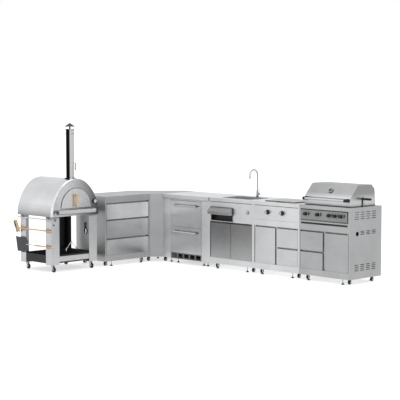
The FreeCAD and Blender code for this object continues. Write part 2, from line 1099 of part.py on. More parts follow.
def band_groove(width):
    """The shadow line under the counter band."""
    return box(
        "stile", "-over_cut", "counter_height - counter_band - groove_height / 2",
        f"{width} - 2 * stile", "groove_depth + over_cut", "groove_height",
    )


bowl_hole = box(
    "bowl_left - bowl_gap", "bowl_front - bowl_gap", "counter_height - steel_sheet - over_cut",
    "bowl_length + 2 * bowl_gap", "bowl_width + 2 * bowl_gap", "steel_sheet + 2 * over_cut",
)
niche_hole = front_opening(
    "niche_left", "niche_low_level", "niche_width", "niche_high_level - niche_low_level"
)
opener = fuse(
    cylinder("opener_x", "-opener_stand", "opener_level", "opener_radius", "opener_stand", "y"),
    box(
        "opener_x - opener_radius", "-opener_stand", "opener_level - opener_radius * 1.5",
        "opener_radius * 2", "opener_stand", "opener_radius * 1.5",
    ),
)
opener_mouth = box(
    "opener_x - opener_radius / 2", "-opener_stand - over_cut", "opener_level - opener_radius * 1.2",
    "opener_radius", "opener_stand * 0.6 + over_cut", "opener_radius",
)
sink_case = cut(
    cabinet("sink_width"),
    front_opening("stile", "kick_top", "sink_width - 2 * stile", "door_level - kick_top"),
    pin_sockets("stile", SINK_MIDDLE, "kick_top", "door_level", "left"),
    pin_sockets(SINK_MIDDLE, "sink_width - stile", "kick_top", "door_level", "right"),
    niche_hole,
    bowl_hole,
    band_groove("sink_width"),
)
node(fuse(sink_case, cut(opener, opener_mouth)), "sink_cabinet", "sink")
add_door("sink_left_door", "sink", "stile", SINK_MIDDLE, "kick_top", "door_level", "left")
add_door("sink_right_door", "sink", SINK_MIDDLE, "sink_width - stile", "kick_top", "door_level", "right")

NICHE_TALL = "(niche_high_level - niche_low_level)"
niche_shell = cut(
    box(
        "niche_gap", 0, "niche_gap", "niche_width - 2 * niche_gap", "niche_depth",
        f"{NICHE_TALL} - 2 * niche_gap",
    ),
    box(
        "niche_gap + niche_sheet", "-over_cut", "niche_gap + niche_sheet",
        "niche_width - 2 * (niche_gap + niche_sheet)", "niche_depth - niche_sheet + over_cut",
        f"{NICHE_TALL} - 2 * (niche_gap + niche_sheet)",
    ),
)
niche_edge = cut(
    box(
        "-niche_flange", "-niche_sheet", "-niche_flange", "niche_width + 2 * niche_flange",
        "niche_sheet", f"{NICHE_TALL} + 2 * niche_flange",
    ),
    box(
        "niche_gap + niche_sheet", "-niche_sheet - over_cut", "niche_gap + niche_sheet",
        "niche_width - 2 * (niche_gap + niche_sheet)", "niche_sheet + 2 * over_cut",
        f"{NICHE_TALL} - 2 * (niche_gap + niche_sheet)",
    ),
)
hood_axis = f"{NICHE_TALL} - hood_radius"
hood = cut(
    cylinder(0, 0, hood_axis, "hood_radius", "niche_width", "x"),
    cylinder(
        "niche_sheet", 0, hood_axis, "hood_radius - niche_sheet", "niche_width - 2 * niche_sheet", "x"
    ),
    box(
        "-over_cut", "-niche_sheet", "-hood_radius", "niche_width + 2 * over_cut",
        "hood_radius + 2 * niche_sheet", f"{NICHE_TALL} + 2 * hood_radius",
    ),
    box(
        "-over_cut", "-2 * hood_radius", "-hood_radius", "niche_width + 2 * over_cut",
        "4 * hood_radius", "hood_lip_level - niche_low_level + hood_radius",
    ),
)
towel_rod = cylinder(
    "niche_sheet / 2", "-hood_radius / 4", hood_axis, "towel_rod_radius", "niche_width - niche_sheet", "x"
)
towel_niche = fuse(niche_shell, niche_edge, hood, towel_rod)
node(towel_niche, "towel_niche", "sink", "niche_left", 0, "niche_low_level")


def rounded_block(length, width, height, corner):
    body = prism("XY", [(0, 0), (length, 0), (length, width), (0, width)], height)
    return round_edges(body, corner, along("z"))


bowl_outer = rounded_block("bowl_length", "bowl_width", "bowl_depth", "bowl_corner")
bowl_flange = rounded_block(
    "bowl_length + 2 * bowl_rim", "bowl_width + 2 * bowl_rim", "bowl_sheet", "bowl_corner + bowl_rim"
)
at(bowl_flange, "-bowl_rim", "-bowl_rim", "bowl_depth")
bowl_inner = rounded_block(
    "bowl_length - 2 * bowl_sheet", "bowl_width - 2 * bowl_sheet", "bowl_depth + over_cut",
    "bowl_corner - bowl_sheet",
)
at(bowl_inner, "bowl_sheet", "bowl_sheet", "bowl_sheet")
drain_x = "bowl_length / 2"
drain_y = "bowl_width / 2"
drain = fuse(
    sided(
        SIXTEEN_SIDED, drain_x, drain_y, "-bowl_sheet * 2", "drain_radius + bowl_sheet * 3",
        "bowl_sheet * 2",
    ),
    sided(
        TWELVE_SIDED, drain_x, drain_y, "-drain_pipe_length", "drain_pipe_radius", "drain_pipe_length"
    ),
)
drain_bore = sided(
    TWELVE_SIDED, drain_x, drain_y, "-drain_pipe_length - over_cut",
    "drain_pipe_radius - drain_pipe_wall", "drain_pipe_length + bowl_sheet + 2 * over_cut",
)
bowl = cut(fuse(bowl_outer, bowl_flange, drain), bowl_inner, drain_bore)
node(bowl, "sink_bowl", "sink", "bowl_left", "bowl_front", "counter_height - bowl_depth")

tap = fuse(
    sided(SIXTEEN_SIDED, 0, 0, 0, "tap_flange_radius", "tap_flange_height"),
    sided(SIXTEEN_SIDED, 0, 0, 0, "tap_body_radius", "tap_body_height"),
    sided(
        TWELVE_SIDED, 0, 0, "lever_raise", "lever_boss_radius", "lever_boss_reach",
        "x",
    ),
)
spigot_bore = cylinder(
    0, 0, "tap_body_height - spigot_length - end_gap", "spigot_radius + fit_clearance",
    "spigot_length + end_gap + over_cut",
)
spindle_bore = cylinder(
    "lever_boss_reach - lever_spindle_length - end_gap", 0, "lever_raise",
    "lever_spindle_radius + fit_clearance", "lever_spindle_length + end_gap + over_cut", "x",
)
node(cut(tap, spigot_bore, spindle_bore), "faucet_base", "sink", "tap_x", "tap_y", "counter_height")

SPOUT_START = "counter_height + tap_body_height + end_gap"


def half_bend(sides, bend_radius, tube_radius):
    """A many-sided tube turned half round the X axis, from +Y over the top to -Y."""
    body = new_body()
    sketch = new_sketch(body, "XY")
    polygon(sketch, regular(sides, tube_radius, bend_radius))
    feature = body.newObject("PartDesign::Revolution", "Bend")
    feature.Profile = sketch
    feature.ReferenceAxis = (sketch, ["H_Axis"])
    feature.Angle = 180
    return body


SPOUT_RISE = f"(counter_height + spout_raise - ({SPOUT_START}))"
bend = half_bend(TEN_SIDED, "spout_reach / 2", "spout_radius")
at(bend, 0, "-spout_reach / 2", SPOUT_RISE)
spout = fuse(
    cylinder(0, 0, "-spigot_length", "spigot_radius", "spigot_length + over_cut"),
    sided(TEN_SIDED, 0, 0, 0, "spout_radius", SPOUT_RISE),
    bend,
    sided(
        TEN_SIDED, 0, "-spout_reach", f"{SPOUT_RISE} - spout_drop", "spout_radius", "spout_drop"
    ),
)
node(spout, "faucet_spout", "sink", "tap_x", "tap_y", SPOUT_START)

lever = fuse(
    cylinder(
        "-lever_spindle_length - end_gap", 0, 0, "lever_spindle_radius",
        "lever_spindle_length + over_cut", "x",
    ),
    sided(TWELVE_SIDED, 0, 0, 0, "lever_boss_radius", "lever_hub_length", "x"),
    sided(OCTAGON, "lever_hub_length / 2", 0, 0, "lever_stick_radius", "lever_stick_length"),
)
node(
    lever, "faucet_lever", "sink", "tap_x + lever_boss_reach + end_gap", "tap_y",
    "counter_height + lever_raise",
)

# Burner module: a covered pair of burners in the counter, a door and two drawers below.

POST_RIGHT = "burner_post_left + burner_post_width"


def lower_bays(width, post_left, post_width, high):
    """Opens two bays under a fascia, with a set-back post and a partition between them."""
    opening = front_opening("stile", "kick_top", f"{width} - 2 * stile", f"{high} - kick_top")
    post = box(
        post_left, "post_setback", "kick_top - steel_sheet / 2", post_width, "frame_depth",
        f"{high} - kick_top + steel_sheet",
    )
    partition = box(
        f"{post_left} + {post_width} - steel_sheet", "post_setback", "kick_top - steel_sheet / 2",
        "steel_sheet", "module_depth - post_setback - steel_sheet / 2", f"{high} - kick_top + steel_sheet",
    )
    return opening, fuse(post, partition)


def knob_stem_hole(x, level, front):
    return cylinder(
        x, f"{front} - over_cut", level, "knob_stem_radius + fit_clearance",
        "knob_stem_length + end_gap + over_cut", "y",
    )


def add_knob(label, module, x, level, front):
    """A gas knob: a skirt and a grip with a pointer, turning on a stem that enters the panel."""
    knob = fuse(
        sided(OCTAGON, 0, "-over_cut", 0, "knob_stem_radius", "knob_stem_length + over_cut", "y"),
        sided(SIXTEEN_SIDED, 0, "-knob_skirt_height", 0, "knob_skirt_radius", "knob_skirt_height", "y"),
        sided(SIXTEEN_SIDED, 0, "-knob_grip_height", 0, "knob_grip_radius", "knob_grip_height", "y"),
        box(
            "-knob_pointer / 2", "-knob_grip_height - knob_pointer_raise", 0, "knob_pointer",
            "knob_grip_height + knob_pointer_raise", "knob_pointer_reach",
        ),
    )
    return node(knob, label, module, x, f"{front} - end_gap", level)


burner_opening, burner_divider = lower_bays(
    "burner_width", "burner_post_left", "burner_post_width", "door_level"
)
pan_hole = box(
    "pan_left - pan_gap", "pan_front - pan_gap", "counter_height - steel_sheet - over_cut",
    "pan_length + 2 * pan_gap", "pan_width + 2 * pan_gap", "steel_sheet + 2 * over_cut",
)
burner_seam = box(
    "stile", "-over_cut", "fascia_level", "burner_width - 2 * stile", "2 * over_cut", "seam_height"
)
burner_case = cut(
    cabinet("burner_width"),
    burner_opening,
    pin_sockets("stile", "burner_post_left", "kick_top", "door_level", "left"),
    knob_stem_hole("burner_knob_1", "burner_knob_level", "0"),
    knob_stem_hole("burner_knob_2", "burner_knob_level", "0"),
    band_groove("burner_width"),
    pan_hole,
    burner_seam,
)
burner_slides = slides(
    POST_RIGHT, POST_RIGHT, "burner_width - stile", "burner_width - steel_sheet",
    ["kick_top", "split_level"],
)
node(fuse(burner_case, burner_divider, *burner_slides), "burner_cabinet", "burner")
add_door("burner_door", "burner", "stile", "burner_post_left", "kick_top", "door_level", "left")
add_drawer("burner_lower_drawer", "burner", POST_RIGHT, "burner_width - stile", "kick_top", "split_level")
add_drawer("burner_upper_drawer", "burner", POST_RIGHT, "burner_width - stile", "split_level", "door_level")
add_knob("burner_knob_left", "burner", "burner_knob_1", "burner_knob_level", "0")
add_knob("burner_knob_right", "burner", "burner_knob_2", "burner_knob_level", "0")

pan_flange = box(
    "-pan_rim", "-pan_rim", "pan_depth", "pan_length + 2 * pan_rim", "pan_width + 2 * pan_rim", "pan_sheet"
)
pan_body = box(0, 0, 0, "pan_length", "pan_width", "pan_depth + pan_sheet")
pan_room = box(
    "pan_sheet", "pan_sheet", "pan_sheet", "pan_length - 2 * pan_sheet", "pan_width - 2 * pan_sheet",
    "pan_depth + pan_sheet",
)
flames = []
for side in ("-", "+"):
    flame_x = f"pan_length / 2 {side} flame_spread / 2"
    flame_y = "pan_width / 2"
    flames.append(
        sided(
            SIXTEEN_SIDED, flame_x, flame_y, "pan_sheet / 2", "flame_ring_radius", "flame_ring_height"
        )
    )
    flames.append(
        sided(
            SIXTEEN_SIDED, flame_x, flame_y, "flame_ring_height", "flame_cap_radius",
            "flame_cap_height + pan_sheet / 2",
        )
    )
    trivet_top = "pan_depth + pan_sheet - trivet_drop"
    for length, width in (("2 * trivet_reach", "trivet_bar"), ("trivet_bar", "2 * trivet_reach")):
        flames.append(
            box(
                f"{flame_x} - {length} / 2", f"{flame_y} - {width} / 2", f"{trivet_top} - trivet_bar",
                length, width, "trivet_bar",
            )
        )
    for leg_x in (f"{flame_x} - trivet_reach", f"{flame_x} + trivet_reach - trivet_bar"):
        flames.append(
            box(
                leg_x, f"{flame_y} - trivet_bar / 2", "pan_sheet / 2", "trivet_bar", "trivet_bar",
                f"{trivet_top} - pan_sheet / 2",
            )
        )
COVER_HINGE_Y = "pan_width + pan_rim + cover_hinge_setback"
COVER_HINGE_Z = "pan_depth + pan_sheet + cover_hinge_raise"
hinge_tab = box(
    "-pan_rim", "pan_width", "pan_depth", "pan_length + 2 * pan_rim", "pan_rim + 2 * cover_hinge_setback",
    "pan_sheet",
)
ears = []
for x in ("cover_ear_inset", "pan_length - cover_ear_inset - cover_ear"):
    ear = box(
        x, f"{COVER_HINGE_Y} - cover_ear_reach", "pan_depth", "cover_ear", "2 * cover_ear_reach",
        "pan_sheet + cover_hinge_raise + cover_ear_reach",
    )
    eye = cylinder(
        f"{x} - over_cut", COVER_HINGE_Y, COVER_HINGE_Z, "cover_hinge_radius + fit_clearance",
        "cover_ear + 2 * over_cut", "x",
    )
    ears.append(cut(ear, eye))
node(
    fuse(cut(fuse(pan_body, pan_flange, hinge_tab), pan_room), *flames, *ears),
    "side_burner", "burner", "pan_left", "pan_front", "counter_height - pan_depth",
)

cover_skin = cut(
    box("-pan_rim", "-pan_rim", 0, "pan_length + 2 * pan_rim", "pan_width + 2 * pan_rim", "cover_height"),
    box(
        "cover_sheet - pan_rim", "cover_sheet - pan_rim", "-over_cut",
        "pan_length + 2 * (pan_rim - cover_sheet)", "pan_width + 2 * (pan_rim - cover_sheet)",
        "cover_height - cover_sheet + over_cut",
    ),
)
hinge_rise = "cover_hinge_raise - cover_gap"
knuckles = []
knuckle_reach = "(cover_hinge_radius + cover_knuckle_wall)"
for x, rod_x in (
    ("cover_ear_inset + cover_ear + 2 * end_gap", "cover_ear_inset - cover_knuckle_wall"),
    (
        "pan_length - cover_ear_inset - 2 * cover_ear - 2 * end_gap",
        "pan_length - cover_ear_inset - 2 * cover_ear",
    ),
):
    knuckles.append(
        box(
            x, "pan_width + pan_rim - cover_sheet", f"{hinge_rise} - {knuckle_reach}", "cover_ear",
            f"cover_hinge_setback + cover_sheet + {knuckle_reach}", f"2 * {knuckle_reach}",
        )
    )
    knuckles.append(
        cylinder(
            rod_x, COVER_HINGE_Y, hinge_rise, "cover_hinge_radius",
            "2 * cover_ear + cover_knuckle_wall", "x",
        )
    )
cover_grip = box(
    "(pan_length - cover_grip_length) / 2", "-pan_rim - cover_grip_reach", "cover_height - cover_sheet",
    "cover_grip_length", "cover_grip_reach + cover_sheet", "cover_sheet",
)
node(
    fuse(cover_skin, *knuckles, cover_grip),
    "burner_lid", "burner", "pan_left", "pan_front", "counter_height + pan_sheet + cover_gap",
)

# Grill module: drawers and a door below, and a grill head with its own side panels above.

GRILL_POST_RIGHT = "grill_post_left + grill_post_width"
grill_opening, grill_divider = lower_bays(
    "grill_width", "grill_post_left", "grill_post_width", "grill_door_level"
)


def louvres(first, count, base, rows, step):
    """Rows of vent slots through the right side sheet."""
    return [
        box(
            "grill_width - steel_sheet - over_cut",
            f"louvre_first + {group} * louvre_pitch - louvre_length / 2",
            f"{base} + {row} * {step}", "steel_sheet + 2 * over_cut", "louvre_length", "louvre_height",
        )
        for group in range(first, first + count)
        for row in range(rows)
    ]


hose_hole = cylinder(
    "grill_width - steel_sheet - over_cut", "hose_hole_y", "hose_hole_level", "hose_hole_radius",
    "steel_sheet + 2 * over_cut", "x",
)
grill_case = cut(
    cabinet("grill_width", "grill_seam_level"),
    grill_opening,
    pin_sockets(GRILL_POST_RIGHT, "grill_width - stile", "kick_top", "grill_door_level", "right"),
    hose_hole,
    *louvres(1, 3, "louvre_mid_level", 3, "louvre_mid_step"),
    *louvres(0, 4, "louvre_low_base", 4, "louvre_low_step"),
)
grill_slides = slides(
    "steel_sheet", "stile", "grill_post_left", f"{GRILL_POST_RIGHT} - steel_sheet",
    ["kick_top", "split_level"],
)
node(fuse(grill_case, grill_divider, *grill_slides), "grill_cabinet", "grill")
add_drawer("grill_lower_drawer", "grill", "stile", "grill_post_left", "kick_top", "split_level")
add_drawer("grill_upper_drawer", "grill", "stile", "grill_post_left", "split_level", "grill_door_level")
add_door(
    "grill_door", "grill", GRILL_POST_RIGHT, "grill_width - stile", "kick_top", "grill_door_level", "right"
)

HEAD_TALL = "(counter_height - grill_seam_level)"
CAVITY_LEFT = "lid_left + cavity_margin"
CAVITY_LENGTH = "(lid_length - 2 * cavity_margin)"
CAVITY_FRONT = "lid_front + cavity_margin"
CAVITY_WIDTH = "(lid_back - lid_front - 2 * cavity_margin)"
head_block = box(0, 0, "grill_seam_level", "grill_width", "module_depth", HEAD_TALL)
head_room = box(
    "steel_sheet", "frame_depth", "grill_seam_level - over_cut", "grill_width - 2 * steel_sheet",
    "module_depth - frame_depth - steel_sheet", f"{HEAD_TALL} - steel_sheet + over_cut",
)
liner = box(
    f"{CAVITY_LEFT} - liner_sheet", f"{CAVITY_FRONT} - liner_sheet", "liner_floor_level - liner_sheet",
    f"{CAVITY_LENGTH} + 2 * liner_sheet", f"{CAVITY_WIDTH} + 2 * liner_sheet",
    "counter_height - liner_floor_level + liner_sheet",
)
cavity = box(
    CAVITY_LEFT, CAVITY_FRONT, "liner_floor_level", CAVITY_LENGTH, CAVITY_WIDTH,
    "counter_height - liner_floor_level + over_cut",
)
grease = sided(
    TWELVE_SIDED, "grill_width / 2", "module_depth / 2", "liner_floor_level - liner_sheet - over_cut",
    "grease_hole", "liner_sheet + 2 * over_cut",
)
drip_slot = front_opening(
    "panel_left", "drip_low_level", "panel_length", "drip_high_level - drip_low_level"
)
panel_groove = box(
    "stile", "-over_cut", "panel_low_level - groove_height - over_cut", "grill_width - 2 * stile",
    "groove_depth + over_cut", "groove_height",
)
GRILL_KNOBS = ["grill_knob_1", "grill_knob_2", "grill_knob_3", "grill_knob_4", "grill_knob_5"]
ledges = [
    box(
        CAVITY_LEFT, y, "grate_level - grate_ledge", CAVITY_LENGTH, "grate_ledge", "liner_sheet"
    )
    for y in (CAVITY_FRONT, f"{CAVITY_FRONT} + {CAVITY_WIDTH} - grate_ledge")
]
drip_slides = [
    box(
        x, "frame_depth - over_cut / 2", "drip_low_level + drip_gap + drip_slide_inset", length,
        "drip_depth - frame_depth",
        "drip_high_level - drip_low_level - 2 * (drip_gap + drip_slide_inset)",
    )
    for x, length in (
        ("steel_sheet", "panel_left + drip_inset - slide_gap - steel_sheet"),
        (
            "panel_left + panel_length - drip_inset + slide_gap",
            "grill_width - steel_sheet - panel_left - panel_length + drip_inset - slide_gap",
        ),
    )
]
lid_ears = []
for x in ("lid_left + lid_ear_inset", "lid_left + lid_length - lid_ear_inset - lid_ear"):
    ear = box(
        x, "lid_hinge_y - 1.75 * lid_hinge_radius", "counter_height - steel_sheet", "lid_ear",
        "3.5 * lid_hinge_radius", "steel_sheet + lid_hinge_rise + 1.75 * lid_hinge_radius",
    )
    eye = cylinder(
        f"{x} - over_cut", "lid_hinge_y", "counter_height + lid_hinge_rise",
        "lid_hinge_radius + fit_clearance", "lid_ear + 2 * over_cut", "x",
    )
    lid_ears.append(cut(ear, eye))
spit_posts = []
for x in ("spit_post_left", "spit_post_right"):
    post = box(
        x, "spit_y - spit_post_width / 2", "counter_height - steel_sheet", "spit_post_thick",
        "spit_post_width", "steel_sheet + spit_rise + spit_post_width / 2",
    )
    eye = cylinder(
        f"{x} - over_cut", "spit_y", "counter_height + spit_rise", "spit_radius + spit_clearance",
        "spit_post_thick + 2 * over_cut", "x",
    )
    spit_posts.append(cut(post, eye))
head = cut(
    fuse(cut(head_block, head_room), liner),
    cavity,
    grease,
    drip_slot,
    panel_groove,
    band_groove("grill_width"),
    *louvres(0, 4, "louvre_high_level", 4, "louvre_high_step"),
)
node(fuse(head, *ledges, *drip_slides, *lid_ears, *spit_posts), "grill_firebox", "grill")

PANEL_TALL = "(panel_high_level - panel_low_level)"
panel = prism(
    "YZ",
    [
        (0, 0),
        ("-panel_thick", "panel_bevel"),
        ("-panel_thick", f"{PANEL_TALL} - panel_bevel"),
        (0, PANEL_TALL),
    ],
    "panel_length",
)
panel_stems = [
    knob_stem_hole(f"{x} - panel_left", "grill_knob_level - panel_low_level", "-panel_thick")
    for x in GRILL_KNOBS
]
switch = box(
    "switch_x - panel_left - switch_length / 2", "-panel_thick - switch_stand",
    "grill_knob_level - panel_low_level - switch_height / 2", "switch_length", "switch_stand + 1",
    "switch_height",
)
panel = fuse(cut(panel, *panel_stems), switch)
node(panel, "grill_control_panel", "grill", "panel_left", 0, "panel_low_level")
for number, x in enumerate(GRILL_KNOBS, 1):
    add_knob(f"grill_knob_{number}", "grill", x, "grill_knob_level", "-panel_thick")

drip_tall = "(drip_high_level - drip_low_level - 2 * drip_gap)"
drip_body = cut(
    box(
        "drip_inset - drip_gap", "drip_front", 0, "panel_length - 2 * drip_inset", "drip_depth",
        f"{drip_tall} - drip_sheet",
    ),
    box(
        "drip_inset - drip_gap + drip_sheet", "drip_front + drip_sheet", "drip_sheet",
        "panel_length - 2 * drip_inset - 2 * drip_sheet", "drip_depth - 2 * drip_sheet", drip_tall,
    ),
)
drip_face = box(0, 0, 0, "panel_length - 2 * drip_gap", "drip_front", drip_tall)
drip_finger = box(
    "(panel_length - 2 * drip_gap) / 2 - drip_pull", "-over_cut", f"{drip_tall} / 3",
    "2 * drip_pull", "drip_front * 2 / 3 + over_cut", f"{drip_tall} / 2",
)
node(
    fuse(cut(drip_face, drip_finger), drip_body),
    "grill_drip_tray", "grill", "panel_left + drip_gap", 0, "drip_low_level + drip_gap",
)

tubes = []
for number in range(4):
    tube_x = f"{CAVITY_LEFT} + {CAVITY_LENGTH} * (2 * {number} + 1) / 8"
    tubes.append(
        sided(
            OCTAGON, tube_x, "burner_tube_front", "burner_tube_level", "burner_tube_radius",
            "burner_tube_reach", "y",
        )
    )
    shield = prism(
        "XZ",
        [
            ("-shield_width / 2", 0),
            (0, "shield_rise"),
            ("shield_width / 2", 0),
            ("shield_width / 2 - 2 * shield_sheet", 0),
            (0, "shield_rise - 1.5 * shield_sheet"),
            ("2 * shield_sheet - shield_width / 2", 0),
        ],
        CAVITY_WIDTH,
    )
    tubes.append(at(shield, tube_x, CAVITY_FRONT, "shield_level"))
node(group(*tubes), "grill_burners", "grill")

grates = []
GRATE_LENGTH = f"(({CAVITY_LENGTH} - (grate_count + 1) * grate_gap) / grate_count)"
GRATE_PITCH = f"(({GRATE_LENGTH} - grate_bar) / (grate_bars - 1))"
for number in range(grate_count):
    grate_x = f"{CAVITY_LEFT} + grate_gap + {number} * ({GRATE_LENGTH} + grate_gap)"
    plate = box(
        grate_x, f"{CAVITY_FRONT} + grate_play", "grate_level", GRATE_LENGTH,
        f"{CAVITY_WIDTH} - 2 * grate_play", "grate_thick",
    )
    slots = [
        box(
            f"{grate_x} + {gap} * {GRATE_PITCH} + grate_bar", f"{CAVITY_FRONT} + grate_rim",
            "grate_level - over_cut", f"{GRATE_PITCH} - grate_bar", f"{CAVITY_WIDTH} - 2 * grate_rim",
            "grate_thick + 2 * over_cut",
        )
        for gap in range(grate_bars - 1)
    ]
    grates.append(cut(plate, *slots))
node(group(*grates), "grill_grates", "grill")


def lid_profile(skin):
    """The lid's side view above the counter, drawn in by the thickness of its skin."""
    low = "lid_gap" if skin == "0" else "lid_gap - over_cut"
    return [
        (f"lid_front + {skin}", low),
        (f"lid_brow_front + {skin} * 1.1", f"lid_brow_rise - {skin} * 0.4"),
        (f"lid_crown_front + {skin} * 0.4", f"lid_crown_rise - {skin}"),
        (f"lid_crown_back - {skin} * 0.4", f"lid_crown_rise - {skin}"),
        (f"lid_nape_back - {skin}", f"lid_nape_rise - {skin} * 0.4"),
        (f"lid_back - {skin}", low),
    ]


lid_outer = prism("YZ", lid_profile("0"), "lid_length")
lid_inner = prism("YZ", lid_profile("lid_skin"), "lid_length - 2 * lid_skin")
at(lid_inner, "lid_skin")
notches = [
    box(
        x, "notch_front", "lid_gap - over_cut", "lid_skin + 2 * over_cut", "notch_width",
        "notch_rise - lid_gap",
    )
    for x in ("-over_cut", "lid_length - lid_skin - over_cut")
]
handle_y = "lid_brow_front - lid_handle_stand"
handle = cylinder(
    "lid_handle_inset", handle_y, "lid_handle_rise", "lid_handle_radius",
    "lid_length - 2 * lid_handle_inset", "x",
)
handle_posts = [
    sided(
        OCTAGON, x, handle_y, "lid_handle_rise", "lid_post_radius", "lid_handle_stand + lid_skin", "y"
    )
    for x in ("lid_post_inset", "lid_length - lid_post_inset")
]
knuckles = []
for x, rod_x in (
    ("lid_ear_inset - lid_knuckle - 2 * end_gap", "lid_ear_inset - lid_knuckle"),
    ("lid_length - lid_ear_inset + 2 * end_gap", "lid_length - lid_ear_inset - lid_ear - end_gap"),
):
    knuckles.append(
        box(
            x, "lid_back - lid_skin", "lid_hinge_rise - lid_hinge_radius", "lid_knuckle",
            "lid_hinge_y - lid_back + lid_skin + lid_hinge_radius", "2 * lid_hinge_radius",
        )
    )
    knuckles.append(
        cylinder(
            rod_x, "lid_hinge_y", "lid_hinge_rise", "lid_hinge_radius",
            "lid_knuckle + lid_ear + end_gap", "x",
        )
    )
dial_y = "(lid_brow_front + lid_crown_front) / 2"
dial_z = "(lid_brow_rise + lid_crown_rise) / 2"
dial = sided(SIXTEEN_SIDED, 0, 0, "-lid_skin", "lid_dial_radius", "lid_dial_thick + lid_skin")
lid_slope = math.atan2(lid_crown_rise - lid_brow_rise, lid_crown_front - lid_brow_front)
dial.Placement = FreeCAD.Placement(Vector(), Rotation(Vector(1, 0, 0), math.degrees(lid_slope)))
at(dial, "lid_length / 2", dial_y, dial_z)
lid = fuse(cut(lid_outer, lid_inner, *notches), handle, *handle_posts, *knuckles, dial)
node(lid, "grill_lid", "grill", "lid_left", 0, "counter_height")

# The grip is a sleeve that is closed at its outer end and slides on the rod.
SPIT_GRIP_START = "(spit_grip_start - spit_left)"
spit_rod = cylinder(
    0, 0, 0, "spit_radius", f"{SPIT_GRIP_START} + spit_grip_length / 2 - spit_clearance", "x"
)
spit_grip = cut(
    sided(
        SIXTEEN_SIDED, SPIT_GRIP_START, 0, 0, "spit_grip_radius", "spit_grip_length", "x"
    ),
    cylinder(
        f"{SPIT_GRIP_START} - over_cut", 0, 0, "spit_radius + spit_clearance",
        "spit_grip_length / 2 + over_cut", "x",
    ),
)
spit = group(spit_rod, spit_grip)
node(spit, "rotisserie_spit", "grill", "spit_left", "spit_y", "counter_height + spit_rise")

# Levelling feet and casters under the cabinets. The feet carry the load.

FLOOR_LEVEL = "kick_top - steel_sheet"


def foot(x, y, top=FLOOR_LEVEL):
    """A pad on a square stem."""
    return fuse(
        sided(TEN_SIDED, x, y, 0, "foot_radius", "foot_disc"),
        box(
            f"{x} - foot_stem", f"{y} - foot_stem", "foot_disc", "2 * foot_stem", "2 * foot_stem",
            f"{top} - foot_disc",
        ),
    )


def caster(x, y):
    """A wheel under a hood on a square stem, a little clear of the floor."""
    axle = "caster_lift + caster_radius"
    return fuse(
        sided(TWELVE_SIDED, f"{x} - caster_width / 2", y, axle, "caster_radius", "caster_width", "x"),
        box(
            f"{x} - caster_width / 2 - caster_cheek", f"{y} - caster_hood / 2",
            f"{axle} - caster_hood / 4", "caster_width + 2 * caster_cheek", "caster_hood",
            f"caster_bridge - {axle} + caster_hood / 4",
        ),
        box(
            f"{x} - caster_stem", f"{y} - caster_stem", "caster_bridge", "2 * caster_stem",
            "2 * caster_stem", f"{FLOOR_LEVEL} - caster_bridge",
        ),
    )


WIDTHS = {
    "drawers": "drawer_width",
    "sink": "sink_width",
    "burner": "burner_width",
    "grill": "grill_width",
}
BACK = "module_depth"
feet = []
casters = []
for module, width in WIDTHS.items():
    for x in ("foot_side", f"{width} - foot_side"):
        for y in ("foot_front", f"{BACK} - foot_front"):
            feet.append(foot(*spot(module, x, y)))
    for x in ("caster_side", f"{width} - caster_side"):
        for y in ("caster_front", f"{BACK} - caster_front"):
            casters.append(caster(*spot(module, x, y)))
for x in ("pillar_foot_left", "pillar_foot_right"):
    for y in ("pillar_foot_front", f"{BACK} - pillar_foot_front"):
        feet.append(foot(*spot("fridge", x, y)))
case_back = "fridge_front_thick + fridge_gap + fridge_case_depth - case_foot_inset"
for x in (f"{CASE_LEFT} + case_foot_inset", f"{CASE_LEFT} + fridge_case_width - case_foot_inset"):
    for y in ("case_foot_front", case_back):
        feet.append(foot(*spot("fridge", x, y), "fridge_foot_level"))


def behind_slant(along_slant, setback):
    """A point behind the corner's slanted front, measured along it from its middle."""
    x = f"({along_slant}) - ({setback}) - corner_cut / 2"
    y = f"({along_slant}) + ({setback}) - corner_cut / 2"
    return x, y


CORNER_LEFT = "-corner_cut - module_depth"
for point in (
    behind_slant("0", "corner_foot_setback"),
    (f"{CORNER_LEFT} + corner_foot_left", "0"),
    ("-corner_foot_right", f"{BACK} - corner_foot_back"),
):
    feet.append(foot(*spot("corner", *point)))
for point in (
    behind_slant("corner_caster_spread", "corner_caster_setback"),
    behind_slant("-corner_caster_spread", "corner_caster_setback"),
    (f"{CORNER_LEFT} + corner_caster_left", "corner_caster_side"),
    ("-corner_caster_right", f"{BACK} - corner_caster_back"),
):
    casters.append(caster(*spot("corner", *point)))


def add_group(pieces, label):
    """Separate solids placed in the island's frame that share one node."""
    piece = group(*pieces)
    piece.Label = label
    NODES.append(piece)


add_group(feet, "levelling_feet")
add_group(casters, "cabinet_casters")

# Pizza oven on its own cart: corner legs, rails, a tray for wood, and a vaulted oven on top.

OVEN_MIDDLE = "cart_width / 2"


def cart_corners():
    """The outer corner of each leg's bounding box and which way the leg faces."""
    for right in (False, True):
        for back in (False, True):
            yield right, back


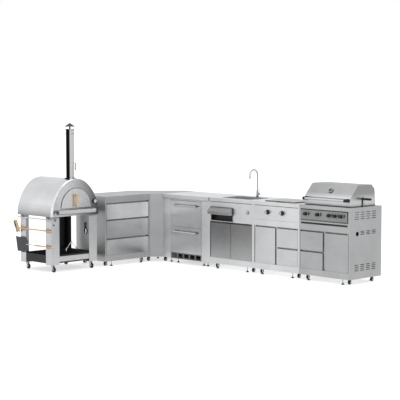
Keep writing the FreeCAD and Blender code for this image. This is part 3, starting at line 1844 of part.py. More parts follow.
def cart_leg(right, back):
    left_edge = "cart_width - leg_length" if right else "0"
    front_edge = "cart_depth - leg_depth" if back else "0"
    block = box(left_edge, front_edge, "leg_bottom", "leg_length", "leg_depth", "cart_top - leg_bottom")
    room = box(
        f"{left_edge} - over_cut" if right else "leg_sheet",
        f"{front_edge} - over_cut" if back else "leg_sheet",
        "leg_bottom + leg_plate",
        "leg_length - leg_sheet + over_cut",
        "leg_depth - leg_sheet + over_cut",
        "cart_top - leg_bottom",
    )
    bracket = box(
        "cart_width - bracket_size" if right else "0",
        "cart_depth - bracket_size" if back else "0",
        "tray_low - leg_plate", "bracket_size", "bracket_size", "leg_plate",
    )
    x, y = kingpin(right, back)
    hole = cylinder(
        x, y, "leg_bottom - over_cut", "kingpin_radius + fit_clearance", "leg_plate + 2 * over_cut"
    )
    relief = cylinder(
        x, y, "leg_bottom + leg_plate + over_cut", "kingpin_head + over_cut",
        "tray_low - leg_bottom - leg_plate",
    )
    return cut(fuse(cut(block, room), bracket), hole, relief)


def kingpin(right, back):
    x = "cart_width - kingpin_x" if right else "kingpin_x"
    y = "cart_depth - kingpin_y" if back else "kingpin_y"
    return x, y


ring = cut(
    box(0, 0, "cart_top - ring_height", "cart_width", "cart_depth", "ring_height"),
    box(
        "ring_width", "ring_width", "cart_top - ring_height - over_cut", "cart_width - 2 * ring_width",
        "cart_depth - 2 * ring_width", "ring_height + 2 * over_cut",
    ),
)
cart_rails = [
    box("leg_sheet", y, "rail_low", "cart_width - 2 * leg_sheet", "rail_thick", "rail_height")
    for y in ("leg_sheet", "cart_depth - leg_sheet - rail_thick")
]
pegs = [
    sided(OCTAGON, "leg_sheet - peg_length", y, z, "peg_radius", "peg_length", "x")
    for y, z in (
        ("peg_front", "brush_level - tool_grip_radius - peg_radius"),
        ("peg_back", "brush_level - tool_grip_radius - peg_radius"),
        ("peg_front", "shovel_level - tool_grip_radius - peg_radius"),
        ("peg_back", "shovel_low - peg_radius"),
    )
]
legs = [cart_leg(right, back) for right, back in cart_corners()]
node(fuse(*legs, ring, *cart_rails, *pegs), "oven_cart_legs", "oven")

TRAY_FRONT = "leg_sheet + rail_thick"
wood_tray = cut(
    box(
        "leg_sheet", TRAY_FRONT, "tray_low", "cart_width - 2 * leg_sheet",
        f"cart_depth - 2 * ({TRAY_FRONT})", "tray_wall",
    ),
    box(
        "leg_sheet + wood_tray_sheet", f"{TRAY_FRONT} + wood_tray_sheet",
        "tray_low + wood_tray_sheet",
        "cart_width - 2 * (leg_sheet + wood_tray_sheet)",
        f"cart_depth - 2 * ({TRAY_FRONT} + wood_tray_sheet)", "tray_wall",
    ),
)
node(wood_tray, "oven_cart_tray", "oven")

RACK_MIDDLE = "(rack_right - rack_left) / 2"
rack = prism(
    "XZ",
    [
        (0, 0),
        (0, "rack_shoulder"),
        (RACK_MIDDLE, "rack_peak"),
        ("rack_right - rack_left", "rack_shoulder"),
        ("rack_right - rack_left", 0),
        ("rack_right - rack_left - rack_bar", 0),
        ("rack_right - rack_left - rack_bar", "rack_shoulder - rack_bar / 2"),
        (RACK_MIDDLE, "rack_peak - rack_bar * 1.4"),
        ("rack_bar", "rack_shoulder - rack_bar / 2"),
        ("rack_bar", 0),
    ],
    "rack_bar",
)
node(rack, "oven_log_rack", "oven", "rack_left", "rack_setback", "tray_low + wood_tray_sheet")

for right, back in cart_corners():
    TOP = "leg_bottom - swivel_gap"
    fork_x = "wheel_width / 2 + wheel_gap"
    pin = fuse(
        sided(
            TWELVE_SIDED, 0, 0, f"{TOP} - over_cut", "kingpin_radius",
            "leg_plate + 2 * swivel_gap + 2 * over_cut",
        ),
        sided(HEX, 0, 0, "leg_bottom + leg_plate + swivel_gap", "kingpin_head", "kingpin_head_thick"),
    )
    swivel = sided(TWELVE_SIDED, 0, 0, f"{TOP} - 2 * fork_sheet", "swivel_radius", "2 * fork_sheet")
    bridge = box(
        f"-({fork_x}) - fork_sheet", "-fork_reach", f"{TOP} - 2 * fork_sheet - fork_sheet / 2",
        f"2 * ({fork_x} + fork_sheet)", "2 * fork_reach - wheel_trail / 2", "fork_sheet",
    )
    cheeks = []
    for side in (f"-({fork_x}) - fork_sheet", fork_x):
        cheek = prism(
            "YZ",
            [
                ("-wheel_trail - 2 * axle_radius", "wheel_radius - 2 * axle_radius"),
                ("-wheel_trail + 2 * axle_radius", "wheel_radius - 2 * axle_radius"),
                ("fork_reach - wheel_trail / 2", f"{TOP} - 2 * fork_sheet"),
                ("-fork_reach", f"{TOP} - 2 * fork_sheet"),
            ],
            "fork_sheet",
        )
        cheeks.append(at(cheek, side))
    wheel = fuse(
        sided(
            SIXTEEN_SIDED, "-wheel_width / 2", "-wheel_trail", "wheel_radius", "wheel_radius",
            "wheel_width", "x",
        ),
        sided(
            HEX, f"-({fork_x}) - fork_sheet", "-wheel_trail", "wheel_radius", "axle_radius",
            f"2 * ({fork_x} + fork_sheet)", "x",
        ),
    )
    side_name = "right" if right else "left"
    end_name = "rear" if back else "front"
    node(
        fuse(pin, swivel, bridge, *cheeks, wheel), f"oven_caster_{end_name}_{side_name}", "oven",
        *kingpin(right, back),
    )

rail_posts = [
    sided(OCTAGON, "-side_rail_stand", y, "side_rail_level", "side_rail_post", "side_rail_stand", "x")
    for y in ("leg_depth / 2", "cart_depth - leg_depth / 2")
]
side_rail = cylinder(
    "-side_rail_stand", "-side_rail_overhang", "side_rail_level", "side_rail_radius",
    "side_rail_length", "y",
)
node(fuse(side_rail, *rail_posts), "oven_side_rail", "oven")

# Brush and shovel on the cart's pegs, and a wheel cutter on the drawer cabinet's side.

brush_head = prism(
    "YZ",
    [
        ("brush_heel", "brush_head_low"),
        ("brush_heel + brush_head_width", "brush_head_low"),
        ("brush_heel + brush_head_width + brush_lean", "brush_head_high"),
        ("brush_heel + brush_lean", "brush_head_high"),
    ],
    "2 * tool_grip_radius",
)
bristles = prism(
    "YZ",
    [
        ("bristle_start", "brush_head_low"),
        ("bristle_start + brush_head_width", "bristle_low"),
        ("bristle_end", "bristle_high"),
        ("bristle_end - bristle_depth", "brush_head_high"),
    ],
    "tool_grip_radius",
)
brush = fuse(
    cylinder("-tool_stand", "brush_start", "brush_level", "tool_grip_radius", "brush_length", "y"),
    at(brush_head, "-tool_stand - tool_grip_radius"),
    at(bristles, "-tool_stand - tool_grip_radius / 2"),
)
blade = prism(
    "YZ",
    [
        ("blade_start", "blade_heel_low"),
        ("blade_start + blade_shoulder", "shovel_low"),
        ("blade_end", "shovel_low"),
        ("blade_end + blade_lean", "blade_toe_high"),
        ("blade_start + blade_shoulder", "blade_high"),
        ("blade_start", "blade_heel_high"),
    ],
    "blade_thick",
)
shovel = fuse(
    cylinder(
        "-tool_stand", "shovel_start", "shovel_level", "tool_grip_radius", "shovel_grip_length",
        "y",
    ),
    cylinder(
        "-tool_stand", "shovel_neck_start", "shovel_level", "tool_grip_radius / 2",
        "shovel_neck_length", "y",
    ),
    at(blade, "-tool_stand - blade_thick / 2"),
)
cutter = fuse(
    cylinder("-cutter_disc_stand", 0, 0, "cutter_disc_radius", "blade_thick", "x"),
    cylinder("-cutter_boss_length", 0, 0, "cutter_boss_radius", "cutter_boss_length", "x"),
    box(
        "-cutter_grip_stand", "-cutter_grip_width / 2", "cutter_grip_raise", "cutter_grip_thick",
        "cutter_grip_width", "cutter_grip_length",
    ),
)
tools = [
    stand(brush, "oven"),
    stand(shovel, "oven"),
    stand(cutter, "drawers", 0, "cutter_y", "cutter_level"),
]
add_group(tools, "oven_tools")

vault_outer = arch("oven_half", "oven_rise", "oven_length - face_thick")
vault_inner = arch(
    "oven_half - oven_skin", "oven_rise - oven_skin", "oven_length - face_thick - oven_skin"
)
pan = box(
    "oven_skin / 2 - oven_half", 0, "cart_top - oven_base", "2 * oven_half - oven_skin",
    "oven_length - face_thick - oven_skin / 2", "oven_skin",
)
FLUE_Y = "flue_back + oven_overhang - face_thick"
flue_hole = sided(
    SIXTEEN_SIDED, 0, FLUE_Y, "oven_rise - throat_reach", "throat_radius + oven_skin",
    "2 * throat_reach",
)
node(
    fuse(cut(vault_outer, vault_inner, flue_hole), pan),
    "oven_shell", "oven", OVEN_MIDDLE, "face_thick - oven_overhang", "oven_base",
)

face = arch("oven_half", "oven_rise", "face_thick")


def on_front_arch(edge):
    """The curved edges of the front face's outline."""
    middle = edge.valueAt((edge.FirstParameter + edge.LastParameter) / 2)
    return middle.y < 0.01 and not isinstance(edge.Curve, Part.Line)


bevel_edges(face, "face_bevel", on_front_arch)
doorway = arch("door_half", "door_rise", "face_thick + 2 * over_cut")
at(doorway, 0, "-over_cut", "door_sill - oven_base")
oven_dial = cylinder(
    f"oven_dial_x - {OVEN_MIDDLE}", "-oven_dial_thick", "oven_dial_level - oven_base",
    "oven_dial_radius", "oven_dial_thick + over_cut", "y",
)
node(
    fuse(cut(face, doorway), oven_dial),
    "oven_front", "oven", OVEN_MIDDLE, "-oven_overhang", "oven_base",
)

door_plate = arch("door_half - door_gap", "door_rise - 2 * door_gap", "door_thick")
GRIP_TOP = "door_grip_raise + door_grip_length"
grip = cylinder(
    "-door_grip_shift", "-door_grip_stand", "door_grip_raise", "door_grip_radius",
    "door_grip_length",
)
grip_posts = [
    sided(
        OCTAGON, "-door_grip_shift", "-door_grip_stand", z, "door_post_radius",
        "door_grip_stand + over_cut", "y",
    )
    for z in ("door_grip_raise + door_post_inset", f"{GRIP_TOP} - door_post_inset")
]
node(
    fuse(door_plate, grip, *grip_posts),
    "oven_door", "oven", OVEN_MIDDLE, "-oven_overhang - door_proud", "door_sill + door_gap / 2",
)

CHAMBER_FRONT = "face_thick - oven_overhang"
chamber_outer = arch("chamber_half", "chamber_rise", "chamber_length")
chamber_inner = arch(
    "chamber_half - chamber_sheet", "chamber_rise - chamber_sheet", "chamber_length - chamber_sheet"
)
throat_top = "oven_base + oven_rise - chamber_base"
throat = sided(
    SIXTEEN_SIDED, 0, FLUE_Y, "chamber_rise - 2 * chamber_sheet", "throat_radius",
    f"{throat_top} - chamber_rise + 2 * chamber_sheet",
)
throat_bore = sided(
    SIXTEEN_SIDED, 0, FLUE_Y, "chamber_rise - throat_reach", "throat_radius - chamber_sheet",
    f"{throat_top} - chamber_rise + throat_reach + over_cut",
)
node(
    cut(fuse(chamber_outer, throat), chamber_inner, throat_bore),
    "oven_chamber", "oven", OVEN_MIDDLE, CHAMBER_FRONT, "chamber_base",
)

PAN_TOP = "cart_top + oven_skin"
bed = box(
    "-chamber_half", 0, PAN_TOP, "2 * chamber_half", "chamber_length",
    f"chamber_base - ({PAN_TOP})",
)
TILE_EDGE = "(tile_thick * tile_thick / (2 * chamber_half) + tile_gap)"
TILE_LENGTH = f"(chamber_half - chamber_sheet - tile_gap - {TILE_EDGE})"
TILE_WIDTH = "((chamber_length - chamber_sheet) / 2 - 2 * tile_gap)"
tiles = [
    box(
        f"{side} * ({TILE_LENGTH} + tile_gap) + tile_gap / 2",
        f"tile_gap + {row} * ({TILE_WIDTH} + tile_gap)",
        "chamber_base", TILE_LENGTH, TILE_WIDTH, "tile_thick",
    )
    for side in (-1, 0)
    for row in (0, 1)
]
node(group(bed, *tiles), "oven_hearth", "oven", OVEN_MIDDLE, CHAMBER_FRONT, 0)

SHELL_TOP = "oven_base + oven_rise"
FLUE_LOW = f"{SHELL_TOP} - saddle_sink"
saddle = sided(TWELVE_SIDED, 0, 0, FLUE_LOW, "saddle_radius", "saddle_sink + saddle_raise")
stack = sided(PIPE_SIDED, 0, 0, FLUE_LOW, "flue_radius", f"flue_top - ({FLUE_LOW})")
shell_form = at(
    arch("oven_half", "oven_rise", "4 * saddle_radius"), 0, "-2 * saddle_radius", "oven_base"
)
collars = [
    sided(SIXTEEN_SIDED, 0, 0, z, "collar_radius", "collar_height")
    for z in ("collar_low", "collar_high")
]
cap = at(
    spire(SIXTEEN_SIDED, sheet.get("cap_radius"), sheet.get("cap_point"), sheet.get("cap_rise")),
    0, 0, "cap_low",
)
cap_posts = [
    box(x, y, "flue_top - cap_post", length, width, "cap_low - flue_top + 2 * cap_post")
    for x, y, length, width in (
        ("-flue_radius", "-cap_post / 2", "flue_wall", "cap_post"),
        ("flue_radius - flue_wall", "-cap_post / 2", "flue_wall", "cap_post"),
        ("-cap_post / 2", "-flue_radius", "cap_post", "flue_wall"),
        ("-cap_post / 2", "flue_radius - flue_wall", "cap_post", "flue_wall"),
    )
]
bore = sided(
    PIPE_SIDED, 0, 0, f"{FLUE_LOW} - over_cut", "flue_radius - flue_wall",
    f"flue_top - ({FLUE_LOW}) + 2 * over_cut",
)
damper_hole = cylinder(
    "-flue_radius - over_cut", 0, "damper_level", "damper_rod + fit_clearance",
    "2 * flue_radius + 2 * over_cut", "x",
)
pipe = cut(fuse(stack, saddle, *collars), shell_form, bore, damper_hole)
node(fuse(pipe, cap, *cap_posts), "oven_flue", "oven", OVEN_MIDDLE, "flue_back")

disc = sided(SIXTEEN_SIDED, 0, "-damper_thick / 2", 0, "damper_radius", "damper_thick", "y")
rod = cylinder(
    "-flue_radius - damper_tail", 0, 0, "damper_rod", "flue_radius + damper_tail + damper_reach",
    "x",
)
damper_handle = sided(
    TWELVE_SIDED, "damper_reach", 0, "-damper_drop - damper_grip_length", "damper_grip",
    "damper_grip_length",
)
damper_stem = sided(
    OCTAGON, "damper_reach", 0, "-damper_drop - over_cut", "damper_rod",
    "damper_drop + damper_rod + over_cut",
)
node(
    fuse(disc, rod, damper_handle, damper_stem),
    "oven_damper", "oven", OVEN_MIDDLE, "flue_back", "damper_level",
)

SHELF_FRONT = "-oven_overhang - shelf_reach"
SHELF_LOW = "shelf_level - shelf_sheet"
shelf = box("shelf_left", SHELF_FRONT, SHELF_LOW, "shelf_length", "shelf_reach", "shelf_sheet")
apron = box(
    "shelf_left", "-oven_overhang - shelf_sheet", "shelf_level - shelf_apron", "shelf_length",
    "shelf_sheet", "shelf_apron",
)
front_rail = cylinder("shelf_left", SHELF_FRONT, SHELF_LOW, "shelf_rail", "shelf_length", "x")
rail_cap = cylinder(
    "shelf_left - shelf_cap", SHELF_FRONT, SHELF_LOW, "shelf_rail + shelf_cap_rim", "shelf_cap",
    "x",
)
node(fuse(shelf, apron, front_rail, rail_cap), "oven_shelf", "oven")


doc.recompute()
for item in doc.Objects:
    if "Invalid" in item.State or "Error" in item.State:
        raise RuntimeError(f"{item.Name} ({item.Label}) did not build: {item.State}")
os.makedirs("parts", exist_ok=True)
for piece in NODES:
    if piece.Shape.isNull() or not piece.Shape.isValid():
        raise RuntimeError(f"{piece.Label} has no valid shape")
for piece in NODES:
    piece.Shape.exportStep(f"parts/{piece.Label}.step")
    print(piece.Label, len(piece.Shape.Solids), round(piece.Shape.Volume / 1000), "cm3")
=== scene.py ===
# %% [markdown]
# # An outdoor kitchen island in stainless steel
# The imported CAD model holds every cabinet, appliance and moving part at its real size, so it
# stays as it is and only gets its finishes. What is too fine for the CAD model is made here in
# mesh code and laid over it: knobs, dials, wooden grips, tools, wheels, feet and small trim.

import math
import random

import bmesh
import bpy
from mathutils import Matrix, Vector


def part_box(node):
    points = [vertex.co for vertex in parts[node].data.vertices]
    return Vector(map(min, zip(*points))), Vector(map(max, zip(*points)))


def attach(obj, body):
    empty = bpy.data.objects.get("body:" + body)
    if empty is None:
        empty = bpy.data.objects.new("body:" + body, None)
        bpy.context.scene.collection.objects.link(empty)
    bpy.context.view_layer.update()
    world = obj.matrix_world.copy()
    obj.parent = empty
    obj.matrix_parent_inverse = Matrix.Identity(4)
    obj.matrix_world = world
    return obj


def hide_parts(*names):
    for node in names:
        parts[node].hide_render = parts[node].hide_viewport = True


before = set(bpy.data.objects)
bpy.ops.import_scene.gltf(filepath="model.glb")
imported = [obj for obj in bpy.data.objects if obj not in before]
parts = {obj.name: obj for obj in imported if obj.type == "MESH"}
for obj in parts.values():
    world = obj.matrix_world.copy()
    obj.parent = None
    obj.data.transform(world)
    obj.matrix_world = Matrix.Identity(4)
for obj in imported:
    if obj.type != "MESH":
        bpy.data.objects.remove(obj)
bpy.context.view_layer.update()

# %% [markdown]
# ## The camera
# The photograph looks along the diagonal of the two runs from far away with a long lens, which
# keeps the cabinets' edges almost parallel. A camera set by eye would never line up along four
# metres of edges, so its place, its lens and its two angles were solved from those edges.

# %% Set the camera
CAMERA_PLACE = (13.991773, -12.934156, 2.359682)
CAMERA_TILT = 4.589
CAMERA_TURN = 45.45
FOCAL_LENGTH = 121.364
SENSOR_WIDTH = 36
SIGHT_LIMIT = 200

lens = bpy.data.cameras.new("Camera")
lens.sensor_width = SENSOR_WIDTH
lens.lens = FOCAL_LENGTH
lens.clip_end = SIGHT_LIMIT
camera = bpy.data.objects.new("Camera", lens)
camera.location = CAMERA_PLACE
camera.rotation_euler = (math.radians(90 - CAMERA_TILT), 0, math.radians(CAMERA_TURN))
bpy.context.scene.collection.objects.link(camera)
bpy.context.scene.camera = camera
bpy.context.scene.view_settings.view_transform = "Standard"
print("camera at", tuple(round(v, 2) for v in camera.location))


# %% [markdown]
# ## Building finishes
# Every finish is a small node tree: a pattern in the object's own coordinates drives colour,
# roughness and bump. Object coordinates move with a drawer or a door, so the pattern never
# slides when a joint does. Wiring each tree by hand would bury the idea under links, so a few
# helpers make a node, set its sockets and join it in one line.

# %% Make and join nodes
def new_finish(name):
    """A material with its tree and its Principled shader."""
    material = bpy.data.materials.new(name)
    material.use_nodes = True
    tree = material.node_tree
    return material, tree, tree.nodes["Principled BSDF"]


def add(tree, kind, **settings):
    """A node with its settings: names of sockets set their values, other names its properties."""
    node = tree.nodes.new(kind)
    for name, value in settings.items():
        label = name.replace("_", " ")
        if label in node.inputs:
            node.inputs[label].default_value = value
        else:
            setattr(node, name, value)
    return node


def pattern(tree, kind, stretch=(1, 1, 1), **settings):
    """A procedural texture that is stretched along the object's axes."""
    place = add(tree, "ShaderNodeTexCoord")
    scale = add(tree, "ShaderNodeMapping", Scale=stretch)
    texture = add(tree, kind, **settings)
    tree.links.new(place.outputs["Object"], scale.inputs["Vector"])
    tree.links.new(scale.outputs["Vector"], texture.inputs["Vector"])
    return texture


def along(tree, way):
    """How far a point lies along a direction, in the box of its own part."""
    place = add(tree, "ShaderNodeTexCoord")
    reach = add(tree, "ShaderNodeVectorMath", operation="DOT_PRODUCT")
    reach.inputs[1].default_value = way
    tree.links.new(place.outputs["Generated"], reach.inputs[0])
    return reach.outputs["Value"]


# %% [markdown]
# A pattern gives plain numbers. These helpers turn them into a blend of two colours, a range of
# roughness, a row of greys or a darker colour.

# %% Turn patterns into values
TINT_START, TINT_END = 0.3, 0.7
NEW_STOP = 0.5


def tint(tree, source, low, high, start=TINT_START, end=TINT_END):
    """Two colours that a pattern blends."""
    ramp = add(tree, "ShaderNodeValToRGB")
    for stop, colour, position in zip(ramp.color_ramp.elements, (low, high), (start, end)):
        stop.color = (*colour, 1)
        stop.position = position
    tree.links.new(source, ramp.inputs["Fac"])
    return ramp.outputs["Color"]


def greys(tree, source, stops):
    """A row of greys from pairs of a place and a level."""
    ramp = add(tree, "ShaderNodeValToRGB")
    while len(ramp.color_ramp.elements) < len(stops):
        ramp.color_ramp.elements.new(NEW_STOP)
    for stop, (position, level) in zip(ramp.color_ramp.elements, stops):
        stop.position = position
        stop.color = (level, level, level, 1)
    tree.links.new(source, ramp.inputs["Fac"])
    return ramp.outputs["Color"]


def spread(tree, source, low, high, start=0.0, end=1.0):
    """A pattern's value mapped to a range."""
    node = add(tree, "ShaderNodeMapRange")
    node.inputs["From Min"].default_value = start
    node.inputs["From Max"].default_value = end
    node.inputs["To Min"].default_value = low
    node.inputs["To Max"].default_value = high
    tree.links.new(source, node.inputs["Value"])
    return node.outputs["Result"]


def product(tree, first, second):
    """Two patterns multiplied, so that each breaks up the other."""
    node = add(tree, "ShaderNodeMath", operation="MULTIPLY")
    tree.links.new(first, node.inputs[0])
    tree.links.new(second, node.inputs[1])
    return node.outputs["Value"]


def dim(tree, colour, factor):
    """A colour scaled by a value."""
    node = add(tree, "ShaderNodeVectorMath", operation="SCALE")
    tree.links.new(colour, node.inputs["Vector"])
    tree.links.new(factor, node.inputs["Scale"])
    return node.outputs["Vector"]


# %% [markdown]
# Thin sheet metal is drawn by its dark lines: the finger channels, the grooves under the counters
# and the gaps between fronts. Real gaps are dark because little light gets in. A mirror-like
# material would fill them with reflections of the room, so ambient occlusion, which measures how
# closed in a point is, darkens the metal's colour there as painted shade.

# %% Paint shade into gaps, bump surfaces and soften edges
CREVICE_REACH = 0.05
CREVICE_SHADE_DEPTH = 0.06
CREVICE_START, CREVICE_END = 0.48, 0.86
CREVICE_SAMPLES = 6
EDGE_SAMPLES = 3


def crevice_shade(tree, colour, reach=CREVICE_REACH, depth=CREVICE_SHADE_DEPTH):
    """A colour with painted shade in grooves and gaps."""
    sky = add(tree, "ShaderNodeAmbientOcclusion", samples=CREVICE_SAMPLES, Distance=reach)
    shade = spread(tree, sky.outputs["AO"], depth, 1.0, CREVICE_START, CREVICE_END)
    return dim(tree, colour, shade)


def with_painted_shading(tree, colour, way, start, end, first, last):
    """A colour with painted light and shade across its part: first and last factor between two
    places.
    """
    return dim(tree, colour, spread(tree, along(tree, way), first, last, start, end))


def rough_up(tree, shader, source, strength, depth, edge=0.0):
    """Bump from a pattern, over edges that are softened by a small radius."""
    bump = add(tree, "ShaderNodeBump", Strength=strength, Distance=depth)
    tree.links.new(source, bump.inputs["Height"])
    if edge:
        soft = add(tree, "ShaderNodeBevel", samples=EDGE_SAMPLES, Radius=edge)
        tree.links.new(soft.outputs["Normal"], bump.inputs["Normal"])
    tree.links.new(bump.outputs["Normal"], shader.inputs["Normal"])


# %% [markdown]
# ## Brushed stainless steel
# Brushed sheet has a fine grain in one direction: thousands of shallow scratches that blur what
# the metal mirrors. Scratches could be drawn as a picture, but a noise stretched almost to lines
# has no seams and no end. A second, cloudy noise keeps large fronts from looking printed. A front
# may also carry painted shading that fades from top to bottom, for the counter above it and the
# pale floor below that such sheet would mirror.

# %% Brushed steel
STEEL_TINT = (0.98, 0.988, 1.0)
STEEL_SHADES = (0.9, 1.06)
SHADE_START, SHADE_END = 0.12, 0.4
CLOUD_SIZE = 3.5
GRAIN_ROUGHNESS = 0.6
SCRATCH_STRENGTH, SCRATCH_DEPTH = 0.12, 0.0004
SHEET_EDGE = 0.0012


def brushed_steel(name, level, grain, roughness, edge=SHEET_EDGE, painted_shading=None, depth=CREVICE_SHADE_DEPTH):
    """Steel with a grain along its stretch, a level of grey for its light, painted shade in its
    gaps and, if given, painted shading across it.
    """
    material, tree, shader = new_finish(name)
    shader.inputs["Metallic"].default_value = 1
    lines = pattern(
        tree, "ShaderNodeTexNoise", grain, Scale=1, Detail=3, Roughness=GRAIN_ROUGHNESS
    )
    cloud = pattern(tree, "ShaderNodeTexNoise", Scale=CLOUD_SIZE, Detail=2)
    both = product(tree, lines.outputs["Fac"], cloud.outputs["Fac"])
    dark, light = (tuple(level * share * part for part in STEEL_TINT) for share in STEEL_SHADES)
    colour = tint(tree, both, dark, light, SHADE_START, SHADE_END)
    if painted_shading:
        colour = with_painted_shading(tree, colour, *painted_shading)
    colour = crevice_shade(tree, colour, depth=depth)
    tree.links.new(colour, shader.inputs["Base Color"])
    tree.links.new(spread(tree, lines.outputs["Fac"], *roughness), shader.inputs["Roughness"])
    rough_up(tree, shader, lines.outputs["Fac"], SCRATCH_STRENGTH, SCRATCH_DEPTH, edge)
    return material


# %% [markdown]
# All fronts are the same metal, but each stands at its own angle to a room that isn't in the
# model, so each gets its own level of grey: light and shade painted into its colour. A painted
# shading is a direction, the two places between which it runs, and the factor at either place.

# %% Steels for the cabinets' fronts
LEVEL_GRAIN = (3, 3, 700)
FINE = (0.2, 0.3)
UPWARDS = (0, 0, 1)
DRAWER_PAINTED_SHADING = (UPWARDS, 0, 1, 0.78, 1.08)
SINK_DOOR_PAINTED_SHADING = (UPWARDS, 0, 1, 1.3, 0.7)
BRUSHED = {"grain": LEVEL_GRAIN, "roughness": FINE}

drawer_steel = brushed_steel("Drawer steel", level=0.68, painted_shading=DRAWER_PAINTED_SHADING, **BRUSHED)
top_drawer_steel = brushed_steel("Top drawer steel", level=0.92, **BRUSHED)
front_steel = brushed_steel("Front steel", level=0.8, **BRUSHED)
fridge_steel = brushed_steel("Fridge steel", level=0.8, **BRUSHED)
grill_steel = brushed_steel("Grill front steel", level=0.58, **BRUSHED)
door_steel = brushed_steel("Sink door steel", level=0.42, painted_shading=SINK_DOOR_PAINTED_SHADING, **BRUSHED)
panel_steel = brushed_steel("Control panel steel", level=0.38, **BRUSHED)
print("made 7 steels for the fronts")

# %% [markdown]
# The cases behind the fronts have a duller grain, and like the fronts each gets its own level of
# grey as painted light. The corner cabinet gets painted light that brightens it upwards. The
# cart's rear leg on the drawers' side stands in the shade of the oven and of the drawer cabinet,
# and that shade is painted into its steel, almost black.

# %% Steels for cases, corner and legs
SOFT = (0.32, 0.44)
CORNER_PAINTED_SHADING = (UPWARDS, 0, 1, 0.95, 1.08)
TOWARDS_REAR_LEG = (-1, 1, 0)
LEG_PAINTED_SHADE = (TOWARDS_REAR_LEG, 0.5, 0.7, 1.0, 0.1)
SHALLOW_CREVICE_SHADE = 0.15
DULLED = {"grain": LEVEL_GRAIN, "roughness": SOFT}

lit_cabinet_steel = brushed_steel("Lit cabinet steel", level=0.92, depth=SHALLOW_CREVICE_SHADE, **DULLED)
case_steel = brushed_steel("Cabinet steel", level=0.6, **DULLED)
drawer_case_steel = brushed_steel("Drawer cabinet steel", level=0.56, **DULLED)
leg_steel = brushed_steel("Leg steel", level=0.8, painted_shading=LEG_PAINTED_SHADE, **DULLED)
plain_steel = brushed_steel("Corner steel", level=0.47, painted_shading=CORNER_PAINTED_SHADING, **DULLED)
print("made 5 steels for the cases")

# %% [markdown]
# Curved sheet is brushed along its length. The grill's lid has soft folds, so its edges get a
# larger radius. The lid carries painted shading, lighter low on its slope and darker above, and
# the oven's barrel a painted shade that darkens it towards the floor.

# %% Steels for the lid and the barrel
LID_GRAIN = (3, 400, 400)
LID_ROUGHNESS = (0.26, 0.36)
LID_EDGE = 0.003
LID_PAINTED_SHADING = (UPWARDS, 0.3, 0.6, 1.35, 0.72)
BARREL_GRAIN = (3, 500, 500)
BARREL_PAINTED_SHADE = (UPWARDS, 0, 0.35, 0.5, 1.0)

lid_steel = brushed_steel(
    "Lid steel", level=0.58, grain=LID_GRAIN, roughness=LID_ROUGHNESS, edge=LID_EDGE, painted_shading=LID_PAINTED_SHADING
)
barrel_steel = brushed_steel(
    "Barrel steel", level=0.9, grain=BARREL_GRAIN, roughness=FINE, painted_shading=BARREL_PAINTED_SHADE
)
print("made 2 steels for curved sheet")

# %% [markdown]
# The oven's arched face and its door are hammered: shallow round dents side by side, each one a
# small concave mirror. Modelling them would take a million faces. The distance to the nearest
# cell centre, used as bump, gives the dents their round floors and crisp ridges for nothing.

# %% Hammered steel
DENTS = 60
DENT_STRENGTH, DENT_DEPTH = 0.16, 0.001
DENTED_EDGE = 0.0015
DENTED_ROUGHNESS = (0.2, 0.32)
DENTED_CLOUDS = 6
# The face and its door carry painted shading: painted light on the side away from the drawers,
# painted shade towards them.
TOWARDS_DRAWERS = (0, 1, 0)
FACE_PAINTED_SHADING = (TOWARDS_DRAWERS, 0.3, 0.95, 1.45, 0.26)
OVEN_DOOR_PAINTED_SHADING = (TOWARDS_DRAWERS, 0.3, 0.95, 1.35, 0.95)


def hammered_steel(name, dark, light, painted_shading):
    """Steel with shallow round dents, cloudy between two greys, with painted shade in its gaps and
    painted shading across it.
    """
    material, tree, shader = new_finish(name)
    shader.inputs["Metallic"].default_value = 1
    cells = pattern(tree, "ShaderNodeTexVoronoi", Scale=DENTS)
    cloud = pattern(tree, "ShaderNodeTexNoise", Scale=DENTED_CLOUDS, Detail=3)
    colour = tint(tree, cloud.outputs["Fac"], dark, light)
    colour = crevice_shade(tree, with_painted_shading(tree, colour, *painted_shading))
    tree.links.new(colour, shader.inputs["Base Color"])
    shine = spread(tree, cloud.outputs["Fac"], *DENTED_ROUGHNESS)
    tree.links.new(shine, shader.inputs["Roughness"])
    rough_up(tree, shader, cells.outputs["Distance"], DENT_STRENGTH, DENT_DEPTH, DENTED_EDGE)
    return material


face_steel = hammered_steel("Hammered face", (0.6, 0.605, 0.61), (0.7, 0.705, 0.71), FACE_PAINTED_SHADING)
oven_door_steel = hammered_steel(
    "Hammered door", (0.7, 0.705, 0.71), (0.8, 0.805, 0.81), OVEN_DOOR_PAINTED_SHADING
)
print("made 2 hammered steels")


# %% [markdown]
# ## Polished metal
# Polished pieces mirror the room almost cleanly. A faint cloudy change of roughness stands for
# finger marks and water spots, without which chrome looks like a computer's default. A polished
# pipe shows upright black and white bands, where it mirrors the dark and the bright sides of a
# studio. This studio is pale all round, so the flue's bands are painted reflections in its own
# finish. Gaps in polished metal get painted shade too.

# %% Polished metal
POLISH_SHADE = 0.9
POLISH_CREVICE = CREVICE_REACH / 2
SPOT_STRENGTH, SPOT_DEPTH = 0.03, 0.0002
POLISHED_EDGE = 0.0006
ACROSS_FLUE = (0.5, 0.5, 0)
FLUE_PAINTED_REFLECTIONS = (
    (0.0, 0.5), (0.20, 0.45), (0.245, 0.01), (0.49, 0.01),
    (0.53, 1.0), (0.70, 1.0), (0.74, 0.2), (0.8, 0.3),
)


